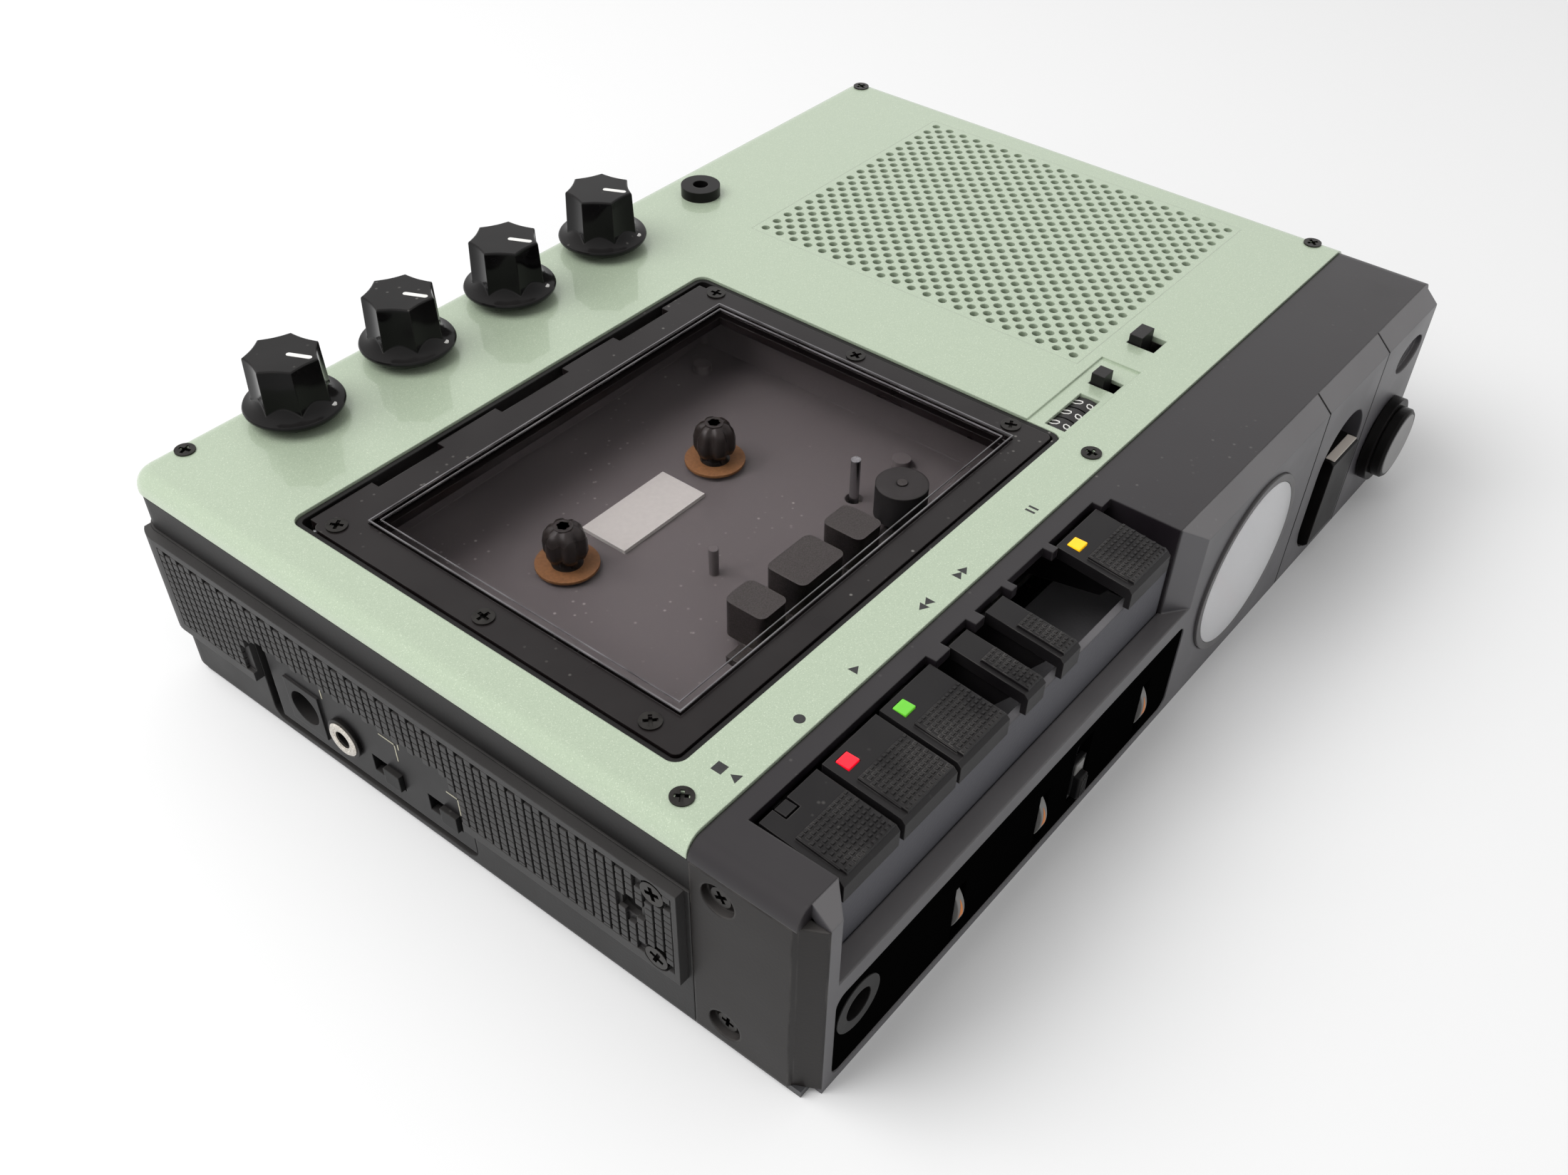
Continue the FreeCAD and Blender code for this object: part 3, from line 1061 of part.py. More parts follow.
# ======================================================= cassette well
def cassette_well():
    """Tub that holds the cassette, with the door pin's holes and the drive openings."""
    x0, x1, y0, y1 = WELL_X0 + FIT, WELL_X1 - FIT, WELL_Y0 + FIT, WELL_Y1 - FIT
    t = TUB_T
    tub = rounded_block(x0, x1, y0, y1, DECK_Z - TUB_FLOOR_T, TUB_RIM_Z, WELL_R - FIT)
    tub = tub.cut(rounded_block(x0 + t, x1 - t, y0 + t, y1 - t, DECK_Z, CASE_H + OVER, WELL_R - FIT - t))
    low = DECK_Z - TUB_FLOOR_T - OVER
    cuts = [rod(x, HUB_Y, low, SPINDLE_R + SHAFT_ROOM, TUB_FLOOR_T + 2 * OVER) for x in hub_places()]
    cuts.append(rod(CAPSTAN_X, CAPSTAN_Y, low, CAPSTAN_R + SHAFT_ROOM, TUB_FLOOR_T + 2 * OVER))
    cuts.append(rod(x0 - OVER, DOOR_PIN_Y, DOOR_PIN_Z, DOOR_PIN_R + SHAFT_FIT, x1 - x0 + 2 * OVER, RIGHTWARD))
    tub = tub.cut(cuts)
    pins = [rod(GUIDE_X, GUIDE_Y, DECK_Z - OVER, CAPSTAN_R, PIN_H + OVER)]
    for x in (HUB_MID_X - CASSETTE_W / 2 + PIN_INSET, HUB_MID_X + CASSETTE_W / 2 - PIN_INSET):
        for y in (CASSETTE_Y0 + PIN_INSET, CASSETTE_Y0 + CASSETTE_D - PIN_INSET):
            pins.append(rod(x, y, DECK_Z - OVER, PAD_R, OVER + PAD_H))
    return tub.fuse(pins).removeSplitter()


def hub_places():
    """X of the two reel spindles."""
    return HUB_MID_X - HUB_PITCH / 2, HUB_MID_X + HUB_PITCH / 2


def reflector():
    """Pale strip on the tub floor, seen through the cassette's own window."""
    half_w, half_d = REFLECTOR_W / 2, REFLECTOR_D / 2
    return box(HUB_MID_X - half_w, HUB_MID_X + half_w, HUB_Y - half_d, HUB_Y + half_d, DECK_Z,
               DECK_Z + REFLECTOR_T)


def spindle(x):
    """Reel spindle: three-finned hub, felt seat, shaft and drive wheel under the chassis."""
    foot, top = CHASSIS_Z - SPINDLE_TAIL, DECK_Z + SPINDLE_H
    shaft = rod(x, HUB_Y, foot, SPINDLE_R, top - foot)
    seat = rod(x, HUB_Y, DECK_Z + RUN, RING_R, RING_T)
    wheel = rod(x, HUB_Y, CHASSIS_Z - RUN - SPINDLE_WHEEL_T, SPINDLE_WHEEL_R, SPINDLE_WHEEL_T)
    fins = []
    for k in range(FIN_COUNT):
        fin = box(x, x + FIN_R, HUB_Y - FIN_T / 2, HUB_Y + FIN_T / 2, DECK_Z + RUN, top - FIN_DROP)
        fin.rotate(V(x, HUB_Y, 0), V(0, 0, 1), 360 * k / FIN_COUNT + FIN_TURN)
        fins.append(fin)
    return shaft.fuse([seat, wheel] + fins).removeSplitter()


def chassis_plate():
    """Transport chassis on its pillars, with bearings and the lugs of the key shaft."""
    z0 = CHASSIS_Z
    plate = box(LUG_X[0], CHASSIS_X1, LUG_Y0, CHASSIS_BACK, z0, z0 + CHASSIS_T)
    more = []
    for x in LUG_X:
        more.append(box(x, x + LUG_T, LUG_Y0, LUG_Y1, z0, PIVOT_Z + HUB_R))
    for x in (LUG_X[0] + PILLAR_R, CHASSIS_X1 - PILLAR_R):
        for y in (LUG_Y0 + PILLAR_R, CHASSIS_BACK - PILLAR_R):
            more.append(rod(x, y, BASE_T, PILLAR_R, z0 - BASE_T))
    plate = plate.fuse(more)
    cuts = [rod(x, HUB_Y, z0 - OVER, SPINDLE_R + SHAFT_FIT, CHASSIS_T + 2 * OVER) for x in hub_places()]
    cuts.append(rod(CAPSTAN_X, CAPSTAN_Y, z0 - OVER, CAPSTAN_R + SHAFT_FIT, CHASSIS_T + 2 * OVER))
    cuts.append(rod(LUG_X[0] - OVER, PIVOT_Y, PIVOT_Z, PIVOT_R + SHAFT_FIT,
                    LUG_X[-1] - LUG_X[0] + LUG_T + 2 * OVER, RIGHTWARD))
    return plate.cut(cuts).removeSplitter()


def capstan_flywheel():
    """Capstan shaft with its flywheel under the chassis."""
    foot = FLYWHEEL_Z - CAPSTAN_TAIL
    shaft = rod(CAPSTAN_X, CAPSTAN_Y, foot, CAPSTAN_R, DECK_Z + CAPSTAN_H - foot)
    return shaft.fuse(rod(CAPSTAN_X, CAPSTAN_Y, FLYWHEEL_Z, FLYWHEEL_R, FLYWHEEL_T))


def drive_motor():
    """Motor can under the chassis."""
    can = rod(MOTOR_X, MOTOR_Y, BASE_T, MOTOR_R, MOTOR_H)
    return can.fuse(rod(MOTOR_X, MOTOR_Y, BASE_T + MOTOR_H, MOTOR_BOSS_R, MOTOR_BOSS))


def roller_place():
    """(x, y) of the pinch roller's axle with the carriage drawn back."""
    return CAPSTAN_X, CAPSTAN_Y - CAPSTAN_R - ROLLER_R - CARRIAGE_TRAVEL - FIT / 2


def head_carriage():
    """Sliding plate with three tape heads and the pinch roller's pin."""
    z0 = DECK_Z + RUN
    x, y = roller_place()
    plate = box(HUB_MID_X - CARRIAGE_HALF, x + ROLLER_R, CARRIAGE_Y0, y, z0, z0 + CARRIAGE_T)
    more = [rod(x, y, z0, ROLLER_PIN_R, CARRIAGE_T + 2 * RUN + ROLLER_H)]
    more.append(rod(x, y, z0, 2 * ROLLER_PIN_R, CARRIAGE_T))
    for k in (-1, 0, 1):
        mid = HUB_MID_X + k * HEAD_PITCH
        width = HEAD_W if k == 0 else SIDE_HEAD_W
        block = rounded_block(mid - width / 2, mid + width / 2, HEAD_REST_Y - HEAD_D, HEAD_REST_Y,
                              z0 + CARRIAGE_T, z0 + CARRIAGE_T + HEAD_H, HEAD_R)
        more.append(block)
    return plate.fuse(more).removeSplitter()


def pinch_roller():
    """Rubber roller on its pin."""
    x, y = roller_place()
    z = DECK_Z + RUN + CARRIAGE_T + RUN
    return rod(x, y, z, ROLLER_R, ROLLER_H).cut(rod(x, y, z - OVER, ROLLER_PIN_R + SHAFT_FIT,
                                                    ROLLER_H + 2 * OVER))


# =============================================================== door
def cassette_door():
    """Door frame with the window's rebate and the knuckles along its rear edge."""
    z0 = DOOR_TOP - DOOR_T
    frame = rounded_block(DOOR_X0, DOOR_X1, DOOR_Y0, DOOR_Y1, z0, DOOR_TOP, WELL_R - FIT - TUB_T)
    knuckles = []
    for left, right in DOOR_TABS:
        x0, x1 = WELL_X0 + left, WELL_X0 + right
        knuckles.append(box(x0, x1, DOOR_Y1 - OVER, DOOR_PIN_Y + DOOR_PIN_BACK, DOOR_PIN_Z, DOOR_TOP))
        knuckles.append(rod(x0, DOOR_PIN_Y, DOOR_PIN_Z, DOOR_PIN_BACK, x1 - x0, RIGHTWARD))
    frame = frame.fuse(knuckles)
    s = WIN_SEAT
    cuts = [box(WIN_X0 + s, WIN_X1 - s, WIN_Y0 + s, WIN_Y1 - s, z0 - OVER, CASE_H),
            box(WIN_X0 - FIT / 2, WIN_X1 + FIT / 2, WIN_Y0 - FIT / 2, WIN_Y1 + FIT / 2, WIN_Z0, CASE_H),
            rod(DOOR_X0 - OVER, DOOR_PIN_Y, DOOR_PIN_Z, DOOR_PIN_R + SHAFT_FIT,
                DOOR_X1 - DOOR_X0 + 2 * OVER, RIGHTWARD)]
    return frame.cut(cuts)


def door_window():
    """Clear window with a bevelled, raised rim."""
    pane = box(WIN_X0, WIN_X1, WIN_Y0, WIN_Y1, WIN_Z0, DOOR_TOP + WIN_PROUD)
    chosen = [e for e in pane.Edges if abs(e.BoundBox.ZMin - DOOR_TOP - WIN_PROUD) < 1e-6]
    return pane.makeChamfer(WIN_BEVEL, chosen)


def door_screws():
    """Screws down both sides of the door frame."""
    length = SCREW_RISE + DOOR_T / 2
    return group([screw(x, y, DOOR_TOP + SCREW_RISE, V(0, 0, 1), SCREW_RISE, length) for x, y in DOOR_SCREWS])


def drill_for_door_screws(shape):
    """Holes in the door frame under its screws."""
    r = SCREW_SHANK_R + SHAFT_FIT
    return shape.cut([rod(x, y, DOOR_TOP - DOOR_T / 2 - FIT, r, DOOR_T) for x, y in DOOR_SCREWS])


# ====================================================== knobs and pots
def fluted_knob(k):
    """Skirted knob with a tapered, seven-fluted grip."""
    x, y = KNOB_X0 + k * KNOB_PITCH, KNOB_Y
    skirt = Part.makeCone(KNOB_SKIRT_R, KNOB_SKIRT_R - KNOB_SKIRT_IN, KNOB_SKIRT_H, V(x, y, KNOB_BOTTOM))
    grip_z = KNOB_BOTTOM + KNOB_SKIRT_H
    body = Part.makeCone(KNOB_WAIST_R, KNOB_TOP_R, KNOB_TOP - grip_z, V(x, y, grip_z))
    flutes = []
    for n in range(KNOB_SIDES):
        turn = 2 * math.pi * (n + 0.5) / KNOB_SIDES + math.pi / 2
        reach = KNOB_WAIST_R + FLUTE_R - FLUTE_DEPTH
        lean = V(-math.cos(turn), -math.sin(turn),
                 (KNOB_TOP - grip_z) / (KNOB_WAIST_R - KNOB_TOP_R)).normalize()
        flutes.append(rod(x + reach * math.cos(turn), y + reach * math.sin(turn), grip_z, FLUTE_R,
                          2 * (KNOB_TOP - grip_z), lean))
    body = body.cut(flutes)
    shaft = rod(x, y, COVER_UNDER - POT_H + OVER, POT_SHAFT_R,
                KNOB_BOTTOM + OVER - COVER_UNDER + POT_H - OVER)
    return skirt.fuse([body, shaft]).removeSplitter()


def control_pots():
    """Four round pots under the cover and the double pot behind the level knob."""
    pots = []
    for k in range(KNOB_COUNT):
        x, z = KNOB_X0 + k * KNOB_PITCH, COVER_UNDER - POT_H
        pots.append(rod(x, KNOB_Y, z, POT_R, POT_H).cut(
            rod(x, KNOB_Y, z + OVER - FIT, POT_SHAFT_R + SHAFT_FIT, POT_H)))
    y = FRONT + PANEL_T
    pots.append(rod(LEVEL_X, y, LEVEL_Z, LEVEL_POT_R, LEVEL_POT_L, BACKWARD).cut(
        rod(LEVEL_X, y - OVER, LEVEL_Z, LEVEL_SLEEVE_R + SHAFT_FIT, LEVEL_POT_L, BACKWARD)))
    return group(pots)


def level_ring():
    """Rear knob of the level control, on a sleeve."""
    y = FRONT - RUN - LEVEL_REAR_H
    ring = rod(LEVEL_X, y, LEVEL_Z, LEVEL_REAR_R, LEVEL_REAR_H, BACKWARD)
    sleeve = rod(LEVEL_X, y, LEVEL_Z, LEVEL_SLEEVE_R, LEVEL_REAR_H + RUN + PANEL_T + LEVEL_POT_L / 2,
                 BACKWARD)
    bore = rod(LEVEL_X, y - OVER, LEVEL_Z, LEVEL_SHAFT_R + SHAFT_FIT, CASE_D / 2, BACKWARD)
    return ring.fuse(sleeve).cut(bore).removeSplitter()


def level_knob():
    """Front knob of the level control, with a pointer rib, on the inner shaft."""
    y = FRONT - RUN - LEVEL_REAR_H - FIT - LEVEL_FRONT_H
    knob = rod(LEVEL_X, y, LEVEL_Z, LEVEL_FRONT_R, LEVEL_FRONT_H, BACKWARD)
    knob = knob.makeChamfer(LEVEL_CHAMFER, [e for e in knob.Edges if abs(e.BoundBox.YMax - y) < 1e-3])
    length = FRONT + PANEL_T + LEVEL_POT_L / 2 - y
    return knob.fuse(rod(LEVEL_X, y + OVER, LEVEL_Z, LEVEL_SHAFT_R, length - OVER, BACKWARD)).removeSplitter()


def thumbwheel(x):
    """Edge-on control wheel with its axle; the rim has fine notches."""
    wheel = rod(x - WHEEL_W / 2, WHEEL_Y, WHEEL_Z, WHEEL_R, WHEEL_W, RIGHTWARD)
    notches = []
    for n in range(WHEEL_NOTCHES):
        turn = 2 * math.pi * n / WHEEL_NOTCHES
        notch = box(x - WHEEL_W, x + WHEEL_W, WHEEL_Y - NOTCH_T / 2, WHEEL_Y + NOTCH_T / 2,
                    WHEEL_Z + WHEEL_R - NOTCH_T / 2, WHEEL_Z + WHEEL_R + OVER)
        notch.rotate(V(x, WHEEL_Y, WHEEL_Z), RIGHTWARD, math.degrees(turn))
        notches.append(notch)
    half = WHEEL_W / 2 + RUN + RIB_T
    return wheel.cut(notches).fuse(rod(x - half, WHEEL_Y, WHEEL_Z, AXLE_R, 2 * half, RIGHTWARD))


def tone_slider():
    """Ribbed slide knob that stands through the window, with its rider behind."""
    y0 = FRONT - SLIDER_PROUD
    y1 = FRONT + WINDOW_SET + WINDOW_T + RUN
    x0, x1 = SLIDER_X - SLIDER_W / 2, SLIDER_X + SLIDER_W / 2
    knob = box(x0, x1, y0, y1, SLIDER_Z, SLIDER_Z + SLIDER_H)
    for k in range(SLIDER_RIBS):
        z = SLIDER_Z + SLIDER_H * (k + 1) / (SLIDER_RIBS + 1)
        knob = knob.cut(box(x0 - OVER, x1 + OVER, y0 - OVER, y0 + SLIDER_CUT, z - SLIDER_CUT / 2,
                            z + SLIDER_CUT / 2))
    return knob.fuse(box(x0, x1, y1 - OVER, RIB_Y1 - OVER, SLIDER_Z, SLIDER_Z + SLIDER_H)).removeSplitter()


def input_lever():
    """Broad finger lever in the dish, with a stem through the slot and a keeper behind."""
    x0, x1 = OVAL_X - LEVER_W / 2, OVAL_X + LEVER_W / 2
    z1 = LEVER_Z0 + LEVER_H
    y0, y1 = FRONT - LEVER_PROUD, FRONT + OVAL_DEPTH - RUN
    body = prism_x([(y0, LEVER_Z0 + LEVER_EASE), (y0, z1 - LEVER_EASE), (y0 + LEVER_EASE, z1), (y1, z1),
                    (y1, LEVER_Z0), (y0 + LEVER_EASE, LEVER_Z0)], x0, x1)
    mid = LEVER_Z0 + LEVER_H / 2
    back_y = FRONT + OVAL_DEPTH + OVAL_WALL + RUN
    stem = box(OVAL_X - STEM_W / 2, OVAL_X + STEM_W / 2, y1 - OVER, back_y + OVER, mid - STEM_H / 2,
               mid + STEM_H / 2)
    keeper = box(OVAL_X - STEM_W, OVAL_X + STEM_W, back_y, back_y + SHELF_T, mid - STEM_H, mid + STEM_H)
    return body.fuse([stem, keeper]).removeSplitter()


# ===================================================== meter, counter
def meter_body():
    """Round case of the level meter with its dial face sunk behind the plate."""
    y0 = FRONT - METER_RISE
    case = rod(METER_X, y0, METER_Z, METER_R + METER_BEZEL - FIT / 2, METER_DEPTH + METER_RISE, BACKWARD)
    case = case.cut(rod(METER_X, y0 - OVER, METER_Z, METER_R - METER_BEZEL, METER_DIAL + METER_RISE + OVER,
                        BACKWARD))
    pivot_z = METER_Z - METER_PIVOT
    return case.cut(rod(METER_X, FRONT, pivot_z, NEEDLE_PIN_R + SHAFT_FIT, METER_DIAL + NEEDLE_PIN_L + FIT,
                        BACKWARD))


def meter_lens():
    """Domed lens pressed into the meter case."""
    r = METER_R - METER_BEZEL - FIT / 2
    sphere_r = (r * r + METER_DOME * METER_DOME) / (2 * METER_DOME)
    centre = V(METER_X, FRONT - METER_RISE - METER_DOME + sphere_r, METER_Z)
    shell = Part.makeSphere(sphere_r, centre).cut(Part.makeSphere(sphere_r - METER_LENS_T, centre))
    y0 = FRONT - METER_RISE - METER_DOME - OVER
    return shell.common(rod(METER_X, y0, METER_Z, r, METER_DOME + OVER + METER_RISE + METER_LENS_T, BACKWARD))


def meter_needle():
    """Pointer at the low end of its sweep, on a pin in the dial."""
    pivot_z = METER_Z - METER_PIVOT
    y0 = FRONT + METER_DIAL - NEEDLE_UP
    arm = box(METER_X - NEEDLE_W / 2, METER_X + NEEDLE_W / 2, y0, y0 + NEEDLE_T, pivot_z, pivot_z + NEEDLE_L)
    arm.rotate(V(METER_X, y0, pivot_z), V(0, 1, 0), -NEEDLE_REST)
    pin = rod(METER_X, y0, pivot_z, NEEDLE_PIN_R, NEEDLE_UP + NEEDLE_PIN_L, BACKWARD)
    hub = rod(METER_X, y0, pivot_z, 2 * NEEDLE_PIN_R, NEEDLE_T, BACKWARD)
    return arm.fuse([pin, hub]).removeSplitter()


def counter_wheels():
    """Row of digit wheels on one axle under the counter window."""
    x0, x1 = COUNTER_X0 + RUN, COUNTER_X1 - RUN
    width = (x1 - x0 - (DIGIT_COUNT - 1) * DIGIT_GAP) / DIGIT_COUNT
    wheels = [rod(x0 + k * (width + DIGIT_GAP), COUNTER_Y, COUNTER_Z, COUNTER_R, width, RIGHTWARD)
              for k in range(DIGIT_COUNT)]
    axle = rod(x0 - AXLE_OUT, COUNTER_Y, COUNTER_Z, AXLE_R, x1 - x0 + 2 * AXLE_OUT, RIGHTWARD)
    return axle.fuse(wheels).removeSplitter()


def counter_frame():
    """Bracket under the cover: bearings of the counter and seats of its two buttons."""
    x0 = COUNTER_X0 - AXLE_OUT
    x1 = MEMORY_SLOT[1] + FRAME_T
    y0, y1 = COUNTER_Y - COUNTER_R, COUNTER_Y + COUNTER_R
    plate = box(x0, x1, y0, y1, BUTTON_FLOOR - FRAME_T, BUTTON_FLOOR)
    more = []
    for x in (x0, COUNTER_X1 - RUN + AXLE_OUT - FRAME_T):
        lug = box(x, x + FRAME_T, y0, y1, BUTTON_FLOOR - OVER, COVER_UNDER)
        more.append(lug.cut(rod(x - OVER, COUNTER_Y, COUNTER_Z, AXLE_R + SHAFT_FIT, FRAME_T + 2 * OVER,
                                RIGHTWARD)))
    more.append(box(x1 - FRAME_T, x1, y0, y1, BUTTON_FLOOR - OVER, COVER_UNDER))
    return plate.fuse(more).removeSplitter()


def slot_button(slot):
    """Push button in its slot, on a stem down to the bracket."""
    x0, x1, y0, y1 = slot
    cap = box(x0 + RUN, x1 - RUN, y1 - RUN - BUTTON_DEPTH, y1 - RUN, COVER_UNDER - BUTTON_TRAVEL - OVER,
              BUTTON_TOP)
    mid_x, mid_y = (x0 + x1) / 2, y1 - RUN - BUTTON_DEPTH / 2
    half = BUTTON_STEM / 2
    stem = box(mid_x - half, mid_x + half, mid_y - half, mid_y + half, BUTTON_FLOOR + BUTTON_TRAVEL + RUN,
               COVER_UNDER)
    return cap.fuse(stem).removeSplitter()


# ==================================================== sockets, speaker
def plug_socket(x, z, y0, y1):
    """Closed barrel for a large headphone plug."""
    barrel = rod(x, y0, z, SOCKET_R + SOCKET_WALL, y1 - y0, BACKWARD)
    return barrel.cut(rod(x, y0 - OVER, z, SOCKET_R, y1 - y0 + OVER - SOCKET_END, BACKWARD))


def jack_sockets():
    """Control jack on the cover, ring jack on the side, and the two large front sockets."""
    control = rod(JACK_X, JACK_Y, CASE_H, JACK_NUT_R, JACK_NUT_H)
    control = control.fuse(rod(JACK_X, JACK_Y, CASE_H - JACK_BARREL_L, JACK_BARREL_R, JACK_BARREL_L + OVER))
    control = control.cut(rod(JACK_X, JACK_Y, CASE_H - JACK_BARREL_L + OVER, JACK_BORE_R, CASE_H))
    x0 = -HALF_W - RING_JACK_RISE
    ring = rod(x0, RING_JACK_Y, RING_JACK_Z, RING_JACK_R, RING_JACK_RISE, RIGHTWARD)
    ring = ring.fuse(rod(x0, RING_JACK_Y, RING_JACK_Z, RING_JACK_BARREL_R, DC_DEPTH, RIGHTWARD))
    ring = ring.cut(rod(x0 - OVER, RING_JACK_Y, RING_JACK_Z, JACK_BORE_R, DC_DEPTH, RIGHTWARD))
    back = FRONT + SOCKET_DEPTH + SOCKET_END
    return group([control, ring, plug_socket(PHONES_X, PHONES_Z, FRONT, back),
                  plug_socket(DISH_X, DISH_Z, FRONT + PANEL_T, back + PANEL_T)])


def speaker_driver():
    """Loudspeaker under the grille: rim, cone basket and magnet."""
    top = COVER_UNDER
    x, y = (GRILLE_X0 + GRILLE_X1) / 2, (GRILLE_Y0 + GRILLE_Y1) / 2
    rim_r = SPEAKER_R
    section = [V(x, y, top - SPEAKER_CONE), V(x + SPEAKER_COIL_R, y, top - SPEAKER_CONE),
               V(x + rim_r - SPEAKER_RIM, y, top - OVER), V(x + rim_r - SPEAKER_RIM, y, top),
               V(x + rim_r, y, top),
               V(x + rim_r, y, top - SPEAKER_RIM), V(x + rim_r - SPEAKER_RIM, y, top - SPEAKER_RIM),
               V(x + SPEAKER_MAGNET_R, y, top - SPEAKER_CONE - OVER),
               V(x + SPEAKER_MAGNET_R, y, top - SPEAKER_DEPTH),
               V(x, y, top - SPEAKER_DEPTH)]
    return face_of(section).revolve(V(x, y, 0), V(0, 0, 1), 360)


def circuit_board():
    """Echo circuit board on four spacers, with a tall can and a row of chips."""
    x0, x1, y0, y1 = BOARD_X0, BOARD_X1, BOARD_Y0, BOARD_Y1
    plate = box(x0, x1, y0, y1, BOARD_Z, BOARD_Z + BOARD_T)
    more = []
    for x in (x0 + SPACER_R, x1 - SPACER_R):
        for y in (y0 + SPACER_R, y1 - SPACER_R):
            more.append(rod(x, y, BASE_T, SPACER_R, BOARD_Z - BASE_T))
    for k in range(CHIP_COUNT):
        x = x0 + (k + 1) * (x1 - x0) / (CHIP_COUNT + 1)
        more.append(box(x - CHIP / 2, x + CHIP / 2, y0 + CHIP, y0 + 3 * CHIP, BOARD_Z,
                        BOARD_Z + BOARD_T + CHIP / 2))
    return plate.fuse(more).removeSplitter()


# ============================================================ write out
def main():
    """Build and write every node."""
    os.makedirs("parts", exist_ok=True)
    nodes = {
        "base_plate": base_plate(), "battery_hatch": battery_hatch(), "battery_bay": battery_bay(),
        "lower_case": drill_for_screws(lower_case()), "upper_case": drill_for_screws(upper_case()),
        "top_cover": drill_for_screws(top_cover()), "speaker_grille": speaker_grille(),
        "top_trim": top_trim(), "front_panel": drill_for_screws(front_panel()), "input_panel": input_panel(),
        "level_panel": drill_for_screws(level_panel()), "key_apron": key_apron(), "cheeks": cheeks(),
        "front_window": front_window(), "side_grips": drill_for_screws(side_grips()),
        "side_panel": side_panel(), "case_screws": case_screws(), "hinge_rods": hinge_rods(),
        "cassette_well": cassette_well(), "reflector": reflector(), "chassis_plate": chassis_plate(),
        "capstan_flywheel": capstan_flywheel(), "drive_motor": drive_motor(),
        "head_carriage": head_carriage(), "pinch_roller": pinch_roller(),
        "cassette_door": drill_for_door_screws(cassette_door()), "door_window": door_window(),
        "door_screws": door_screws(), "control_pots": control_pots(), "level_ring": level_ring(),
        "level_knob": level_knob(), "tone_slider": tone_slider(), "input_lever": input_lever(),
        "meter_body": meter_body(), "meter_lens": meter_lens(), "meter_needle": meter_needle(),
        "counter_wheels": counter_wheels(), "counter_frame": counter_frame(),
        "reset_button": slot_button(RESET_SLOT), "memory_button": slot_button(MEMORY_SLOT),
        "jack_sockets": jack_sockets(), "speaker_driver": speaker_driver(), "circuit_board": circuit_board(),
    }
    for name, x in zip(("spindle_supply", "spindle_takeup"), hub_places()):
        nodes[name] = spindle(x)
    for name in KEY_SPAN:
        nodes["key_" + name] = key(name)
    for k in range(KNOB_COUNT):
        nodes["knob_" + str(k + 1)] = fluted_knob(k)
    for k, x in enumerate(WHEEL_X):
        nodes["thumbwheel_" + str(k + 1)] = thumbwheel(x)
    for k, y in enumerate(SWITCH_Y):
        nodes["side_switch_" + str(k + 1)] = side_switch(y)
    for name, shape in nodes.items():
        save(name, shape)
        print(name, len(shape.Solids), shape.isValid())


main()
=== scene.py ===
import math

import bmesh
import bpy
from mathutils import Matrix, Vector


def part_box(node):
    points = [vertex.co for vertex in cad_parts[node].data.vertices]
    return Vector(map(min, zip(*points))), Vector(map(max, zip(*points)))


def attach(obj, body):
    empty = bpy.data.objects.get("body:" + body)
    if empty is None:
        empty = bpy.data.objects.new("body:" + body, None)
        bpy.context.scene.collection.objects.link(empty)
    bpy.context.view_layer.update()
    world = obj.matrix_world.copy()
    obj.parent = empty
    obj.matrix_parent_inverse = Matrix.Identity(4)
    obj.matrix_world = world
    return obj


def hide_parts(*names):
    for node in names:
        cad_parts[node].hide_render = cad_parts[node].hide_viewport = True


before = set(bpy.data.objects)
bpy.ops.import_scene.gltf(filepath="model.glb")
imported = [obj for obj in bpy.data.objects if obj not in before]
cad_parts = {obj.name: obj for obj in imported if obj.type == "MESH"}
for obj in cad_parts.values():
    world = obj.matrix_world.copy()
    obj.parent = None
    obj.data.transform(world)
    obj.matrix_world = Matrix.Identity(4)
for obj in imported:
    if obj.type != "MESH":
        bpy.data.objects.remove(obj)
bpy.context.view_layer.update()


# ==================== lower and upper case
# Two halves moulded in black ABS. The upper half shows as a recessed band under the lid, and the
# battery box is moulded into the rear. The mould was textured with a fine grain.
MM = 0.001


def srgb(red, green, blue):
    """Colour of a plastic or paint from its 0-255 levels."""
    def linear(level):
        level /= 255
        return level / 12.92 if level <= 0.04045 else ((level + 0.055) / 1.055) ** 2.4
    return linear(red), linear(green), linear(blue), 1.0


def add(tree, kind, sockets=None, **settings):
    """Shader node with its settings made and its sockets set or linked; returns its outputs."""
    made = tree.nodes.new("ShaderNode" + kind)
    for name, value in settings.items():
        setattr(made, name, value)
    for name, value in (sockets or {}).items():
        if isinstance(value, bpy.types.NodeSocket):
            tree.links.new(value, made.inputs[name])
        else:
            made.inputs[name].default_value = value
    return made.outputs


def mix(tree, amount, first, second):
    """Colour between two others."""
    return add(tree, "Mix", {0: amount, 6: first, 7: second}, data_type="RGBA")[2]


def spread(tree, value, low, high, start=0.0, end=1.0):
    """A value stretched from start..end to low..high and held there."""
    return add(tree, "MapRange", {"Value": value, "From Min": start, "From Max": end,
                                  "To Min": low, "To Max": high})[0]


def times(tree, first, second):
    """Product of two values."""
    return add(tree, "Math", {0: first, 1: second}, operation="MULTIPLY")[0]


def cloud(tree, scale, detail=2.0):
    """Cloudy noise from 0 to 1 over a piece."""
    return add(tree, "TexNoise", {"Vector": add(tree, "TexCoord")["Object"], "Scale": scale, "Detail": detail})["Fac"]


def bump(tree, height, strength, depth=0.1, normal=None):
    """Normal of a surface that a height raises, up to a depth in mm."""
    sockets = {"Height": height, "Strength": strength, "Distance": depth * MM}
    if normal is not None:
        sockets["Normal"] = normal
    return add(tree, "Bump", sockets)[0]


